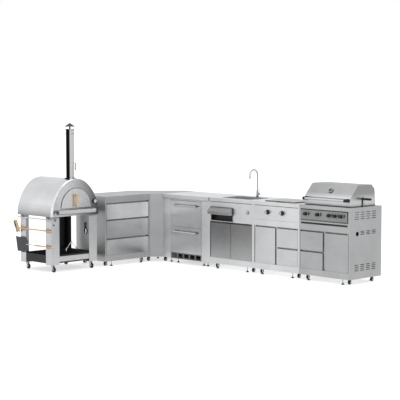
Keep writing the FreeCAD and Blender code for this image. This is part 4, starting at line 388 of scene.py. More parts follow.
def polished(name, colour, roughness, spots=40, painted_bands=()):
    """Mirror-like metal with faint spots, painted shade in its gaps and, if given, painted
    reflection bands across the flue.
    """
    material, tree, shader = new_finish(name)
    shader.inputs["Metallic"].default_value = 1
    marks = pattern(tree, "ShaderNodeTexNoise", Scale=spots, Detail=4)
    shade = tuple(part * POLISH_SHADE for part in colour)
    sheen = tint(tree, marks.outputs["Fac"], shade, colour)
    if painted_bands:
        sheen = dim(tree, sheen, greys(tree, along(tree, ACROSS_FLUE), painted_bands))
    sheen = crevice_shade(tree, sheen, reach=POLISH_CREVICE)
    tree.links.new(sheen, shader.inputs["Base Color"])
    tree.links.new(spread(tree, marks.outputs["Fac"], *roughness), shader.inputs["Roughness"])
    rough_up(tree, shader, marks.outputs["Fac"], SPOT_STRENGTH, SPOT_DEPTH, POLISHED_EDGE)
    return material


chrome = polished("Chrome", (0.78, 0.79, 0.81), (0.04, 0.12))
tap_chrome = polished("Tap chrome", (0.6, 0.61, 0.63), (0.06, 0.14))
flue_steel = polished("Flue steel", (0.8, 0.805, 0.81), (0.05, 0.1), painted_bands=FLUE_PAINTED_REFLECTIONS)
bright_metal = polished("Bright metal", (0.7, 0.705, 0.71), (0.1, 0.18))
blade_steel = polished("Blade steel", (0.12, 0.122, 0.128), (0.25, 0.4), spots=25)
smoked_steel = polished("Smoked steel", (0.11, 0.112, 0.118), (0.2, 0.32), spots=30)
print("made 6 polished metals")


# %% [markdown]
# ## Dark and dull finishes
# Painted metal, moulded plastic, rubber and iron differ mostly in their grain and in how much
# they shine, so one builder serves them all: a colour that wanders a little, a roughness range
# and a bump of the right size.

# %% Paint, plastic, rubber, iron and stone
DULL_GRAIN_ROUGHNESS = 0.6
COOL_GREY = 1.04


def dull(name, low, high, roughness, grain, strength, depth, metallic=0.0):
    """A finish that hardly mirrors: two colours, a roughness range, and a grain with its bump."""
    material, tree, shader = new_finish(name)
    shader.inputs["Metallic"].default_value = metallic
    spots = pattern(
        tree, "ShaderNodeTexNoise", Scale=grain, Detail=5, Roughness=DULL_GRAIN_ROUGHNESS
    )
    tree.links.new(tint(tree, spots.outputs["Fac"], low, high), shader.inputs["Base Color"])
    tree.links.new(spread(tree, spots.outputs["Fac"], *roughness), shader.inputs["Roughness"])
    rough_up(tree, shader, spots.outputs["Fac"], strength, depth)
    return material


def grey(level):
    """A grey with a trace of blue."""
    return (level, level, level * COOL_GREY)


black_paint = dull("Black paint", grey(0.012), grey(0.03), (0.4, 0.55), 300, 0.1, 0.0003)
black_plastic = dull("Black plastic", grey(0.006), grey(0.016), (0.35, 0.5), 500, 0.15, 0.0002)
tread = dull("Wheel tread", grey(0.006), grey(0.016), (0.55, 0.75), 250, 0.25, 0.0004)
bristle = dull("Bristles", grey(0.03), grey(0.09), (0.6, 0.8), 200, 0.2, 0.0003)
iron = dull("Cast iron", grey(0.02), grey(0.05), (0.5, 0.7), 350, 0.5, 0.0006, metallic=0.4)
liner = dull("Cabinet liner", grey(0.2), grey(0.28), (0.4, 0.55), 120, 0.1, 0.0003)
firebrick = dull("Firebrick", (0.5, 0.4, 0.28), (0.7, 0.6, 0.46), (0.8, 0.95), 90, 0.6, 0.002)
dial_face = dull("Dial face", grey(0.01), grey(0.025), (0.15, 0.25), 200, 0.05, 0.0001)
dial_mark = dull("Dial print", grey(0.75), grey(0.82), (0.4, 0.5), 200, 0.05, 0.0001)
print("made 9 dull finishes")


# %% [markdown]
# ## Beech
# The grips are oiled beech. Its fibres run along the handle, so the noise is stretched along it,
# and a second, finer noise adds the short dark flecks that tell beech from pine. Level and
# upright handles need the stretch along different axes, hence two beeches.

# %% Beech
BEECH_DARK, BEECH_LIGHT = (0.6, 0.32, 0.12), (0.95, 0.66, 0.36)
BEECH_START, BEECH_END = 0.14, 0.32
BEECH_SHINE = 0.35
BEECH_ROUGHNESS = (0.35, 0.55)
FIBRE_WAVES = 0.6
FIBRE_STRENGTH, FIBRE_DEPTH = 0.3, 0.0004


def beech(name, fibres, flecks):
    """Oiled beech with its fibres and flecks stretched along one axis."""
    material, tree, shader = new_finish(name)
    shader.inputs["Specular IOR Level"].default_value = BEECH_SHINE
    grain = pattern(
        tree, "ShaderNodeTexNoise", fibres, Scale=1, Detail=4, Distortion=FIBRE_WAVES
    )
    fleck = pattern(tree, "ShaderNodeTexNoise", flecks, Scale=1, Detail=2)
    both = product(tree, grain.outputs["Fac"], fleck.outputs["Fac"])
    colour = tint(tree, both, BEECH_DARK, BEECH_LIGHT, BEECH_START, BEECH_END)
    tree.links.new(colour, shader.inputs["Base Color"])
    shine = spread(tree, grain.outputs["Fac"], *BEECH_ROUGHNESS)
    tree.links.new(shine, shader.inputs["Roughness"])
    rough_up(tree, shader, both, FIBRE_STRENGTH, FIBRE_DEPTH)
    return material


beech_level = beech("Beech, level fibres", fibres=(8, 160, 160), flecks=(40, 700, 700))
beech_upright = beech("Beech, upright fibres", fibres=(160, 160, 8), flecks=(700, 700, 40))
print("made 2 beeches")

# %% [markdown]
# ## Dressing the CAD parts
# Each CAD part takes one finish, by the name that the model gives it. A table from finish to
# names shows at a glance which parts belong together, and the count at the end shows that none
# was forgotten.

# %% Hand out the finishes
wear = {
    drawer_steel: "bottom_drawer middle_drawer",
    top_drawer_steel: "top_drawer",
    fridge_steel: "fridge_lower_drawer fridge_upper_drawer",
    front_steel: "burner_door burner_lower_drawer burner_upper_drawer",
    grill_steel: "grill_lower_drawer grill_upper_drawer grill_door",
    panel_steel: "grill_control_panel",
    case_steel: "grill_cabinet grill_firebox sink_bowl burner_lid",
    lit_cabinet_steel: "fridge_cabinet sink_cabinet burner_cabinet",
    drawer_case_steel: "drawer_cabinet",
    leg_steel: "oven_cart_legs",
    plain_steel: "corner_cabinet",
    door_steel: "sink_left_door sink_right_door",
    lid_steel: "grill_lid towel_niche",
    barrel_steel: "oven_shell oven_chamber",
    face_steel: "oven_front",
    oven_door_steel: "oven_door",
    chrome: (
        "oven_side_rail oven_shelf oven_log_rack burner_knob_left burner_knob_right "
        "grill_knob_1 grill_knob_2 grill_knob_3 grill_knob_4 grill_knob_5 rotisserie_spit"
    ),
    tap_chrome: "faucet_base faucet_spout faucet_lever",
    flue_steel: "oven_flue",
    bright_metal: "oven_damper grill_burners",
    black_paint: "oven_cart_tray side_burner levelling_feet grill_drip_tray",
    black_plastic: (
        "cabinet_casters oven_caster_front_left oven_caster_front_right "
        "oven_caster_rear_left oven_caster_rear_right"
    ),
    iron: "grill_grates",
    liner: "fridge_case",
    firebrick: "oven_hearth",
    beech_level: "oven_tools",
}
for material, names in wear.items():
    for name in names.split():
        parts[name].data.materials.clear()
        parts[name].data.materials.append(material)
bare = [name for name, part in parts.items() if not part.data.materials]
print("dressed", len(parts) - len(bare), "parts; still bare:", bare)


# %% [markdown]
# ## Making pieces
# Most small fittings are turned on a lathe, so here too an outline is spun round an axis. The
# rest are flat outlines with a thickness, and round bars that follow a few points. Each helper
# returns a mesh, and one piece may join several before it is hung on the body that carries it.

# %% Spin an outline
SAME_POINT = 1e-6
TURNED_STEPS = 48
UP = Vector((0, 0, 1))


def finished(form, name):
    """A mesh from an edited form, with its faces turned outwards."""
    bmesh.ops.recalc_face_normals(form, faces=form.faces)
    mesh = bpy.data.meshes.new(name)
    form.to_mesh(mesh)
    form.free()
    return mesh


def lathe(outline, centre, axis, steps=TURNED_STEPS):
    """Spin an outline of (radius, height) pairs and stand it on a point along an axis."""
    form = bmesh.new()
    line = [form.verts.new((radius, 0, height)) for radius, height in outline]
    edges = [form.edges.new(pair) for pair in zip(line, line[1:])]
    bmesh.ops.spin(
        form, geom=line + edges, cent=(0, 0, 0), axis=UP, dvec=(0, 0, 0),
        angle=math.tau, steps=steps, use_duplicate=False,
    )
    bmesh.ops.remove_doubles(form, verts=form.verts, dist=SAME_POINT)
    mesh = finished(form, "lathe")
    turn = UP.rotation_difference(Vector(axis)).to_matrix().to_4x4()
    turn.translation = Vector(centre)
    mesh.transform(turn)
    return mesh


def scaled(shape, radius, length=0.0):
    """An outline from rows of a radius share, a length share and metres beyond that share."""
    return [(radius * wide, length * far + beyond) for wide, far, beyond in shape]


# %% [markdown]
# Sheet metal never has razor edges, so a plate's edges can be rounded by a bevel of a fraction
# of a millimetre: it is what catches the light.

# %% Cut a plate
def rectangle(across, up):
    """The corners of a rectangle from its two spans."""
    (left, right), (low, high) = across, up
    return ((left, low), (right, low), (right, high), (left, high))


def plate(outline, shift, round_by=0.0):
    """Extrude a closed outline of points by a shift and round its edges."""
    form = bmesh.new()
    face = form.faces.new([form.verts.new(point) for point in outline])
    made = bmesh.ops.extrude_face_region(form, geom=[face])
    moved = [item for item in made["geom"] if isinstance(item, bmesh.types.BMVert)]
    bmesh.ops.translate(form, verts=moved, vec=Vector(shift))
    bmesh.ops.recalc_face_normals(form, faces=form.faces)
    if round_by:
        bmesh.ops.bevel(
            form, geom=list(form.edges), offset=round_by, segments=2, affect="EDGES",
            clamp_overlap=True,
        )
    return finished(form, "plate")


# %% [markdown]
# A bar is a ring of points carried along a path. Each ring keeps the turn of the one before it
# and is only tipped to stay square to the path, so the bar never twists in a bend.

# %% Bend a bar
BAR_SIDES = 20


def bar(points, radius, sides=BAR_SIDES):
    """A round bar along a path, square to it at every point."""
    form = bmesh.new()
    path = [Vector(point) for point in points]
    turns = [math.tau * step / sides for step in range(sides)]
    rings = []
    side = None
    for i, point in enumerate(path):
        ahead = (path[min(i + 1, len(path) - 1)] - path[max(i - 1, 0)]).normalized()
        side = side or ahead.orthogonal()
        side = (side - ahead * side.dot(ahead)).normalized()
        up = ahead.cross(side)
        ways = [side * math.cos(turn) + up * math.sin(turn) for turn in turns]
        rings.append([form.verts.new(point + radius * way) for way in ways])
    for lower, upper in zip(rings, rings[1:]):
        for i in range(sides):
            j = (i + 1) % sides
            form.faces.new((lower[i], lower[j], upper[j], upper[i]))
    form.faces.new(rings[0][::-1])
    form.faces.new(rings[-1])
    return finished(form, "bar")


# %% [markdown]
# Every finished piece rides on a body of the model, so that it opens with its door or turns
# with its knob, and says which CAD part it stands for, if it does. Edges sharper than a lathe's
# own facets stay sharp, the rest is shaded smooth.

# %% Hang a piece on its body
SHARP_ANGLE = math.radians(32)


def piece(name, meshes, body, finish, replaced=()):
    """Join meshes into one piece of the island, in place of the CAD parts it replaces."""
    form = bmesh.new()
    for mesh in meshes:
        form.from_mesh(mesh)
        bpy.data.meshes.remove(mesh)
    joined = bpy.data.meshes.new(name)
    form.to_mesh(joined)
    form.free()
    joined.materials.append(finish)
    joined.shade_smooth()
    joined.set_sharp_from_angle(angle=SHARP_ANGLE)
    item = bpy.data.objects.new(name, joined)
    bpy.context.scene.collection.objects.link(item)
    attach(item, body)
    if replaced:
        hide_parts(*replaced)


# %% [markdown]
# Places are given in a module's own plan: across its front, back from its front plane and up
# from the floor. The longer run faces -Y, the shorter one +X. Thinking in a module's plan keeps
# the numbers those of a cabinet maker's drawing.

# %% Places in the modules
LONG_RUN = {"fridge": 0.345, "sink": 1.232, "burner": 2.048, "grill": 2.838}
LONG_FRONT = -0.205
SHORT_RUN = {"drawers": (0.205, -1.155), "oven": (0.190, -2.065)}
COUNTER = 0.950
ALONG_RUN = Vector((1, 0, 0))
TOWARDS_COOK = Vector((0, -1, 0))
ACROSS_OVEN = Vector((0, 1, 0))
OUT_OF_OVEN = Vector((1, 0, 0))


def at(module, x, y, z):
    """A point of a module's plan, in the frame of the whole island."""
    if module in LONG_RUN:
        return Vector((LONG_RUN[module] + x, LONG_FRONT + y, z))
    front, left = SHORT_RUN[module]
    return Vector((front - y, left + x, z))


print("the grill's front left foot point:", tuple(at("grill", 0, 0, 0)))


# %% [markdown]
# Feet and casters are many equal solids in one CAD part. Their places needn't be copied: the
# points of one solid all hang together by edges, so walking along edges finds each of them.

# %% Find the separate solids of a part
WELD = 1e-5
ORDER_DIGITS = 4


def islands(name):
    """The lowest and highest corner of each separate solid in a CAD part."""
    form = bmesh.new()
    form.from_mesh(parts[name].data)
    bmesh.ops.remove_doubles(form, verts=form.verts, dist=WELD)
    left = set(form.verts)
    found = []
    while left:
        to_visit = [left.pop()]
        group = []
        while to_visit:
            vertex = to_visit.pop()
            group.append(vertex.co.copy())
            for edge in vertex.link_edges:
                other = edge.other_vert(vertex)
                if other in left:
                    left.remove(other)
                    to_visit.append(other)
        low = Vector([min(point[axis] for point in group) for axis in range(3)])
        high = Vector([max(point[axis] for point in group) for axis in range(3)])
        found.append((low, high))
    form.free()
    return sorted(found, key=lambda box: [round(part, ORDER_DIGITS) for part in box[0]])


# %% [markdown]
# ## Control knobs
# A knob is a black grip with ribs for wet fingers, a cap let into its end, a raised pointer and
# a ring round its foot. The burner's knobs have bright caps and black rings, the grill's black
# caps and bright rings. Turning gives the profile. For the ribs, the grip is spun in twice as
# many steps as it has ribs, and every second column of points is drawn in.

# %% Shape a knob
KNOB_STEM = 0.008
KNOB_POINTER = 0.003
KNOB_RIBS = 20
RIB_DEPTH = 0.0012
RIBS_FROM_FOOT, RIBS_FROM_AXIS = 0.3, 0.7
POINTER_HALF, POINTER_SHARE, POINTER_ROUND = 0.0025, 0.8, 0.0006
KNOB_GRIP = (
    (0, 0, 0.001), (0.96, 0, 0.001), (1, 0, 0.004), (0.92, 0.25, 0),
    (0.86, 0.4, 0), (0.84, 0.94, 0), (0.78, 1, 0), (0, 1, 0),
)
KNOB_CAP = (
    (0, 0, -0.002), (0.76, 0, -0.002), (0.76, 0, 0.0008), (0.68, 0, 0.0016), (0, 0, 0.002),
)
KNOB_RING = (
    (1.02, 0, 0.0002), (1.22, 0, 0.0002), (1.22, 0, 0.003),
    (1.14, 0, 0.006), (1.02, 0, 0.006), (1.02, 0, 0.0002),
)


def ribbed_grip(foot, radius, reach):
    """A knob's grip with its ribs."""
    grip = lathe(scaled(KNOB_GRIP, radius, reach), foot, TOWARDS_COOK, 2 * KNOB_RIBS)
    for vertex in grip.vertices:
        out = Vector((vertex.co.x - foot.x, 0, vertex.co.z - foot.z))
        column = round(math.atan2(out.z, out.x) / math.tau * 2 * KNOB_RIBS)
        off_foot = vertex.co.y < foot.y - reach * RIBS_FROM_FOOT
        if off_foot and out.length > radius * RIBS_FROM_AXIS and column % 2:
            vertex.co -= out.normalized() * RIB_DEPTH
    return grip


def knob(name, cap_finish, ring_finish):
    """Grip, cap and ring of a knob, measured from the CAD knob that they stand for."""
    low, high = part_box(name)
    middle = (low + high) / 2
    radius = (high.x - low.x) / 2
    foot = Vector((middle.x, high.y - KNOB_STEM, middle.z))
    reach = foot.y - low.y - KNOB_POINTER
    tip = foot + TOWARDS_COOK * reach
    corners = rectangle((-POINTER_HALF, POINTER_HALF), (0, radius * POINTER_SHARE))
    pointer = plate(
        [tip + Vector((x, 0, z)) for x, z in corners], TOWARDS_COOK * KNOB_POINTER, POINTER_ROUND
    )
    grip = ribbed_grip(foot, radius, reach)
    piece(f"{name}_grip", [grip, pointer], name, black_plastic, [name])
    cap = lathe(scaled(KNOB_CAP, radius), tip, TOWARDS_COOK)
    piece(f"{name}_cap", [cap], name, cap_finish)
    ring = lathe(scaled(KNOB_RING, radius), foot, TOWARDS_COOK)
    piece(f"{name}_ring", [ring], "root", ring_finish)


# %% [markdown]
# All seven knobs are found by their names in the model. Each grip and cap rides on its own knob
# and turns with it, while the ring belongs to the panel and stays.

# %% Turn the knobs
knobs = [name for name in parts if "knob" in name]
for name in knobs:
    on_grill = name.startswith("grill")
    knob(
        name,
        cap_finish=black_paint if on_grill else chrome,
        ring_finish=chrome if on_grill else black_plastic,
    )
print("turned", len(knobs), "knobs")


# %% [markdown]
# ## Dials
# The lid and the oven's face each carry a thermometer with a needle and a scale of short marks,
# on the boss that the CAD model gives it. The lid's is black in a polished ring, the oven's is
# pale in a black ring. The marks could be painted on in the material, but as thin raised plates
# they stay crisp from any distance.

# %% Build a dial
DIAL_RADIUS = 0.032
DIAL_RIM = (
    (0.8, 0, 0.004), (0.82, 0, 0.008), (0.92, 0, 0.01), (1, 0, 0.006),
    (1, 0, -0.006), (0.8, 0, -0.006), (0.8, 0, 0.004),
)
PRINT_LEVEL, PRINT_THICK = 0.0052, 0.0006
DIAL_DISC = ((0, 0, -0.003), (0.81, 0, -0.003), (0.81, 0, 0.0045), (0, 0, PRINT_LEVEL))
SCALE_START, SCALE_STEP, SCALE_MARKS = 225, 27, 11
MARK_INNER, MARK_OUTER, MARK_HALF = 0.58, 0.72, 0.03
NEEDLE = (120, -0.15, 0.5, 0.04)
STROKE_TAPER = 0.6


def stroke(base, axis, side, up, angle, inner, outer, half):
    """A printed stroke that points away from the dial's middle and narrows outwards."""
    out = side * math.cos(math.radians(angle)) + up * math.sin(math.radians(angle))
    across = out.cross(axis) * DIAL_RADIUS * half
    near, far = base + out * DIAL_RADIUS * inner, base + out * DIAL_RADIUS * outer
    return plate(
        [near - across, far - across * STROKE_TAPER, far + across * STROKE_TAPER, near + across],
        axis * PRINT_THICK,
    )


def dial(name, centre, axis, body, rim, disc, print_finish):
    """Ring, face and printed scale of a dial on a boss."""
    axis = axis.normalized()
    ring = lathe(scaled(DIAL_RIM, DIAL_RADIUS), centre, axis)
    piece(f"{name}_ring", [ring], body, rim)
    face = lathe(scaled(DIAL_DISC, DIAL_RADIUS), centre, axis)
    piece(f"{name}_face", [face], body, disc)
    side = axis.cross(UP).normalized()
    up = side.cross(axis)
    strokes = [
        (SCALE_START - SCALE_STEP * i, MARK_INNER, MARK_OUTER, MARK_HALF)
        for i in range(SCALE_MARKS)
    ]
    base = centre + axis * PRINT_LEVEL
    marks = [stroke(base, axis, side, up, *shape) for shape in strokes + [NEEDLE]]
    piece(f"{name}_scale", marks, body, print_finish)


# %% [markdown]
# The lid's dial sits square to the lid's slope, so its axis comes from the slope's own rise and
# depth.

# %% Place the dials
LID_RISE, LID_DEPTH = 0.161, 0.153
LID_BOSS = 0.008
LID_DIAL = (0.4075, 0.1285, COUNTER + 0.1855)
OVEN_DIAL = (0.710, -0.045, 0.910)

lid_slope = math.atan2(LID_RISE, LID_DEPTH)
lid_normal = Vector((0, -math.sin(lid_slope), math.cos(lid_slope)))
lid_boss = at("grill", *LID_DIAL) + lid_normal * LID_BOSS
dial("lid_dial", lid_boss, lid_normal, "grill_lid", chrome, dial_face, dial_mark)
dial(
    "oven_dial", at("oven", *OVEN_DIAL), OUT_OF_OVEN, "root", black_paint, dial_mark, dial_face
)
print("built 2 dials, the lid's at a slope of", round(math.degrees(lid_slope), 1), "degrees")

# %% [markdown]
# ## Grill
# The lid's tubular handle stands on two black bosses that keep it cool, and black caps close
# its ends. The tube itself is in the CAD model, so only these four turned parts are added.

# %% Bosses and caps of the lid's handle
HANDLE_Z = COUNTER + 0.085
LID_FRONT = 0.054
HANDLE_ENDS = (0.062, 0.753)
HANDLE_POSTS = (0.074, 0.741)
BOSS = ((0, 0), (0.024, 0), (0.023, 0.006), (0.018, 0.026), (0.0185, 0.040), (0, 0.042))
END_CAP = (
    (0, -0.030), (0.0135, -0.030), (0.020, -0.028), (0.020, -0.004), (0.015, 0.002), (0, 0.004)
)

bosses = [lathe(BOSS, at("grill", x, LID_FRONT, HANDLE_Z), TOWARDS_COOK) for x in HANDLE_POSTS]
bosses += [
    lathe(END_CAP, at("grill", x, 0, HANDLE_Z), way)
    for x, way in zip(HANDLE_ENDS, (-ALONG_RUN, ALONG_RUN))
]
piece("lid_handle_bosses", bosses, "grill_lid", black_plastic)
print("fitted", len(bosses), "black parts to the lid's handle")

# %% [markdown]
# The spit is a pointed steel rod in two dark bearings, with a ridged black grip on its outer
# end. The ridges are one short outline that is repeated along the grip.

# %% Spit
SPIT_Y, SPIT_Z = 0.300, COUNTER + 0.095
SPIT_LEFT, SPIT_GRIP, SPIT_RIGHT = 0.008, 0.800, 0.905
SPIT_POSTS = (0.017, 0.785)
SPIT_STEPS = 32
ROD_RADIUS, ROD_POINT, ROD_INSIDE = 0.006, 0.003, 0.05
RIDGES, RIDGE_START, RIDGE_PITCH = 6, 0.014, 0.013
RIDGE = ((0.0135, 0), (0.015, 0.003), (0.015, 0.007), (0.0135, 0.010))
GRIP_SHOULDER = ((0, 0), (0.010, 0), (0.0125, 0.003))
GRIP_END = ((0.013, 1, -0.006), (0.009, 1, 0), (0, 1, 0))
BEARING = (
    (0.0064, -0.006), (0.014, -0.006), (0.015, -0.004), (0.015, 0.004),
    (0.014, 0.006), (0.0064, 0.006), (0.0064, -0.006),
)

rod_end = SPIT_GRIP - SPIT_LEFT + ROD_INSIDE
rod = lathe(
    [(0, 0), (ROD_POINT, 0), (ROD_RADIUS, ROD_RADIUS), (ROD_RADIUS, rod_end), (0, SPIT_GRIP)],
    at("grill", SPIT_LEFT, SPIT_Y, SPIT_Z), ALONG_RUN, SPIT_STEPS,
)
piece("spit_rod", [rod], "rotisserie_spit", chrome, ["rotisserie_spit"])
ridges = [
    (radius, RIDGE_START + step * RIDGE_PITCH + height)
    for step in range(RIDGES) for radius, height in RIDGE
]
grip = lathe(
    [*GRIP_SHOULDER, *ridges, *scaled(GRIP_END, 1, SPIT_RIGHT - SPIT_GRIP)],
    at("grill", SPIT_GRIP, SPIT_Y, SPIT_Z), ALONG_RUN, SPIT_STEPS,
)
piece("spit_grip", [grip], "rotisserie_spit", black_plastic)
bearings = [
    lathe(BEARING, at("grill", x, SPIT_Y, SPIT_Z), ALONG_RUN, SPIT_STEPS) for x in SPIT_POSTS
]
piece("spit_bearings", bearings, "root", black_paint)
print("fitted the spit,", round(rod_end, 3), "m of rod")

# %% [markdown]
# ## Refrigerator
# Its bar handles stand on posts that are hidden in black sleeves. The handles' places are
# measured from each drawer's own box, so the sleeves stay on them.

# %% Sleeves of the handles' posts
POST_INSET = 0.022
HANDLE_DROP = 0.065
HANDLE_LENGTH = 0.452
SLEEVE_STEPS = 24
POST_SLEEVE = (
    (0.0062, 0), (0.011, 0), (0.010, 0.004), (0.0085, 0.008),
    (0.0085, 0.034), (0.0062, 0.036), (0.0062, 0),
)

for name in ("fridge_lower_drawer", "fridge_upper_drawer"):
    low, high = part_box(name)
    middle = (low.x + high.x) / 2
    reach = HANDLE_LENGTH / 2 - POST_INSET
    sleeves = [
        lathe(POST_SLEEVE, (x, LONG_FRONT, high.z - HANDLE_DROP), TOWARDS_COOK, SLEEVE_STEPS)
        for x in (middle - reach, middle + reach)
    ]
    piece(f"{name}_posts", sleeves, name, black_plastic)
print("fitted the refrigerator's handles")

# %% [markdown]
# ## Sink
# The towel niche is lined with black sheet as painted shade for its recess: two sides, a floor, a
# ceiling and a back, each a thin plate just inside the steel. One box would hide its own inside,
# so the lining is five plates.

# %% Line the towel niche with painted shade
NICHE_X = (0.0425, 0.4455)
NICHE_Y = (0.003, 0.0672)
NICHE_Z = (COUNTER - 0.3025, COUNTER - 0.1275)
LINING = 0.0008

niche_shade_plates = []
for x in (NICHE_X[0], NICHE_X[1] - LINING):
    side = [at("sink", x, y, z) for y, z in rectangle(NICHE_Y, NICHE_Z)]
    niche_shade_plates.append(plate(side, ALONG_RUN * LINING))
for z in (NICHE_Z[0], NICHE_Z[1] - LINING):
    level = [at("sink", x, y, z) for x, y in rectangle(NICHE_X, NICHE_Y)]
    niche_shade_plates.append(plate(level, UP * LINING))
back = [at("sink", x, NICHE_Y[1], z) for x, z in rectangle(NICHE_X, NICHE_Z)]
niche_shade_plates.append(plate(back, TOWARDS_COOK * LINING))
piece("niche_painted_shade", niche_shade_plates, "root", black_paint)
print("lined the niche with", len(niche_shade_plates), "plates")

# %% [markdown]
# The tap's swinging spout is one tube: straight up, over in half a circle and a little down
# again, with a collar at its foot and an aerator at its mouth.

# %% Spout
TAP_X, TAP_Y = 0.418, 0.505
SPOUT_FOOT = COUNTER + 0.076
SPOUT_TOP = COUNTER + 0.293
SPOUT_REACH = 0.150
SPOUT_MOUTH = SPOUT_TOP - 0.040
SPOUT_INSIDE = 0.02
SPOUT_RADIUS, SPOUT_SIDES = 0.0105, 28
BEND_STEPS = 24
COLLAR = (
    (0.010, 0.0005), (0.0145, 0.0005), (0.015, 0.004), (0.0145, 0.012), (0.012, 0.015),
    (0.010, 0.016),
)
AERATOR = ((0, 0), (0.0085, 0), (0.0115, 0.002), (0.012, 0.006), (0.012, 0.014), (0.0105, 0.017))

bend = SPOUT_REACH / 2
turns = [math.pi * step / BEND_STEPS for step in range(BEND_STEPS + 1)]
rise = [at("sink", TAP_X, TAP_Y, z) for z in (SPOUT_FOOT - SPOUT_INSIDE, SPOUT_FOOT)]
over = [
    at("sink", TAP_X, TAP_Y - bend * (1 - math.cos(turn)), SPOUT_TOP + bend * math.sin(turn))
    for turn in turns
]
mouth = at("sink", TAP_X, TAP_Y - SPOUT_REACH, SPOUT_MOUTH)
spout = bar([*rise, *over, mouth], SPOUT_RADIUS, SPOUT_SIDES)
collar = lathe(COLLAR, at("sink", TAP_X, TAP_Y, SPOUT_FOOT), UP)
aerator = lathe(AERATOR, mouth, UP)
piece("spout", [spout, collar, aerator], "faucet_spout", tap_chrome, ["faucet_spout"])
print("bent the spout, mouth at", round(mouth.z, 3), "m")

# %% [markdown]
# The lever is a turned hub on the tap's side with a thin stick in it. Both are laid on the axis
# that the CAD lever turns on.

# %% Lever
LEVER_Z = COUNTER + 0.040
LEVER_INSET, STICK_INSET = 0.014, 0.008
STICK_STEPS = 24
LEVER_HUB = (
    (0, -0.014), (0.005, -0.014), (0.005, 0), (0.0115, 0.0005), (0.0122, 0.003),
    (0.0122, 0.013), (0.010, 0.016), (0, 0.0162),
)
LEVER_STICK = (
    (0, 0), (0.0042, 0), (0.0036, 0.05), (0.0046, 0.068), (0.0042, 0.074), (0, 0.076)
)

lever_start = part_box("faucet_lever")[0].x
lever_foot = Vector((lever_start + LEVER_INSET, LONG_FRONT + TAP_Y, LEVER_Z))
hub = lathe(LEVER_HUB, lever_foot, ALONG_RUN)
stick = lathe(LEVER_STICK, lever_foot + ALONG_RUN * STICK_INSET, UP, STICK_STEPS)
piece("tap_lever", [hub, stick], "faucet_lever", tap_chrome, ["faucet_lever"])
print("fitted the lever")

# %% [markdown]
# A pressed strainer covers the drain: a flat ring with a dished middle, in one outline.

# %% Strainer
DRAIN = (0.413, 0.267, COUNTER - 0.198)
STRAINER = (
    (0, 0.002), (0.018, 0.002), (0.020, 0.004), (0.024, 0.0045), (0.027, 0.003),
    (0.036, 0.0025), (0.038, 0.0005), (0, 0.0004),
)

piece("sink_strainer", [lathe(STRAINER, at("sink", *DRAIN), UP)], "root", chrome)
print("laid the strainer")

# %% [markdown]
# ## Oven
# The flue is a polished pipe on a flanged saddle, with two beaded collars near its top. The CAD
# flue has the same size, but a mirror shows every facet, so the pipe is spun again in finer
# steps.

# %% Flue
FLUE_X, FLUE_Y = 0.3875, 0.080
FLUE_RADIUS, FLUE_WALL = 0.052, 0.003
FLUE_LOW, FLUE_TOP = 1.200, 1.870
FLUE_STEPS = 72
COLLAR_LEVELS = (1.806, 1.858)
COLLAR_RADIUS, COLLAR_HEIGHT = 0.057, 0.009
BEAD, BEAD_INSET = 0.0008, 0.002
SADDLE = (
    (FLUE_RADIUS, 1.234), (0.056, 1.232), (0.062, 1.227), (0.076, 1.225), (0.0765, 1.2235),
    (0.0765, 1.190),
)

flue_foot = at("oven", FLUE_X, FLUE_Y, 0)
bore = FLUE_RADIUS - FLUE_WALL
wall = [*rectangle((bore, FLUE_RADIUS), (FLUE_LOW, FLUE_TOP)), (bore, FLUE_LOW)]
pipe = [lathe(wall, flue_foot, UP, FLUE_STEPS)]
for level in COLLAR_LEVELS:
    beaded = (
        (FLUE_RADIUS, level), (COLLAR_RADIUS, level),
        (COLLAR_RADIUS + BEAD, level + BEAD_INSET),
        (COLLAR_RADIUS + BEAD, level + COLLAR_HEIGHT - BEAD_INSET),
        (COLLAR_RADIUS, level + COLLAR_HEIGHT), (FLUE_RADIUS, level + COLLAR_HEIGHT),
    )
    pipe.append(lathe(beaded, flue_foot, UP, FLUE_STEPS))
pipe.append(lathe(SADDLE, flue_foot, UP, FLUE_STEPS))
piece("flue", pipe, "root", flue_steel, ["oven_flue"])
print("raised the flue to", FLUE_TOP, "m")

# %% [markdown]
# A pointed cap keeps rain out of the flue. It stands clear of the pipe on four flat straps, and
# its steel is dark, as smoke leaves it. The cap is turned, and one strap is cut four times.

# %% Rain cap and its straps
CAP_LOW, CAP_RISE, CAP_RADIUS = 1.903, 0.047, 0.068
CAP_HOLLOW, CAP_BRIM, CAP_TIP = 0.006, 0.005, 0.004
BRIM_LIP, TIP_ROUND = 0.002, 0.001
STRAPS = 4
STRAP_HALF, STRAP_SHEET, STRAP_ROUND = 0.005, 0.002, 0.0004
STRAP_LAP, STRAP_LENGTH = 0.008, 0.052

cap_top = CAP_LOW + CAP_RISE
cap = lathe(
    [(0, CAP_LOW + CAP_HOLLOW), (CAP_RADIUS - BRIM_LIP, CAP_LOW), (CAP_RADIUS, CAP_LOW),
     (CAP_RADIUS, CAP_LOW + CAP_BRIM), (CAP_TIP, cap_top - TIP_ROUND), (0, cap_top)],
    flue_foot, UP, FLUE_STEPS,
)
piece("flue_cap", [cap], "root", smoked_steel)
straps = []
for step in range(STRAPS):
    turn = math.tau * (step + 0.5) / STRAPS
    out = Vector((math.cos(turn), math.sin(turn), 0))
    side = Vector((-out.y, out.x, 0)) * STRAP_HALF
    foot = flue_foot + out * FLUE_RADIUS + UP * (FLUE_TOP - STRAP_LAP)
    head = UP * STRAP_LENGTH
    outline = [foot - side, foot + side, foot + side + head, foot - side + head]
    straps.append(plate(outline, out * STRAP_SHEET, STRAP_ROUND))
piece("cap_straps", straps, "root", black_paint)
print("set the cap on", len(straps), "straps")

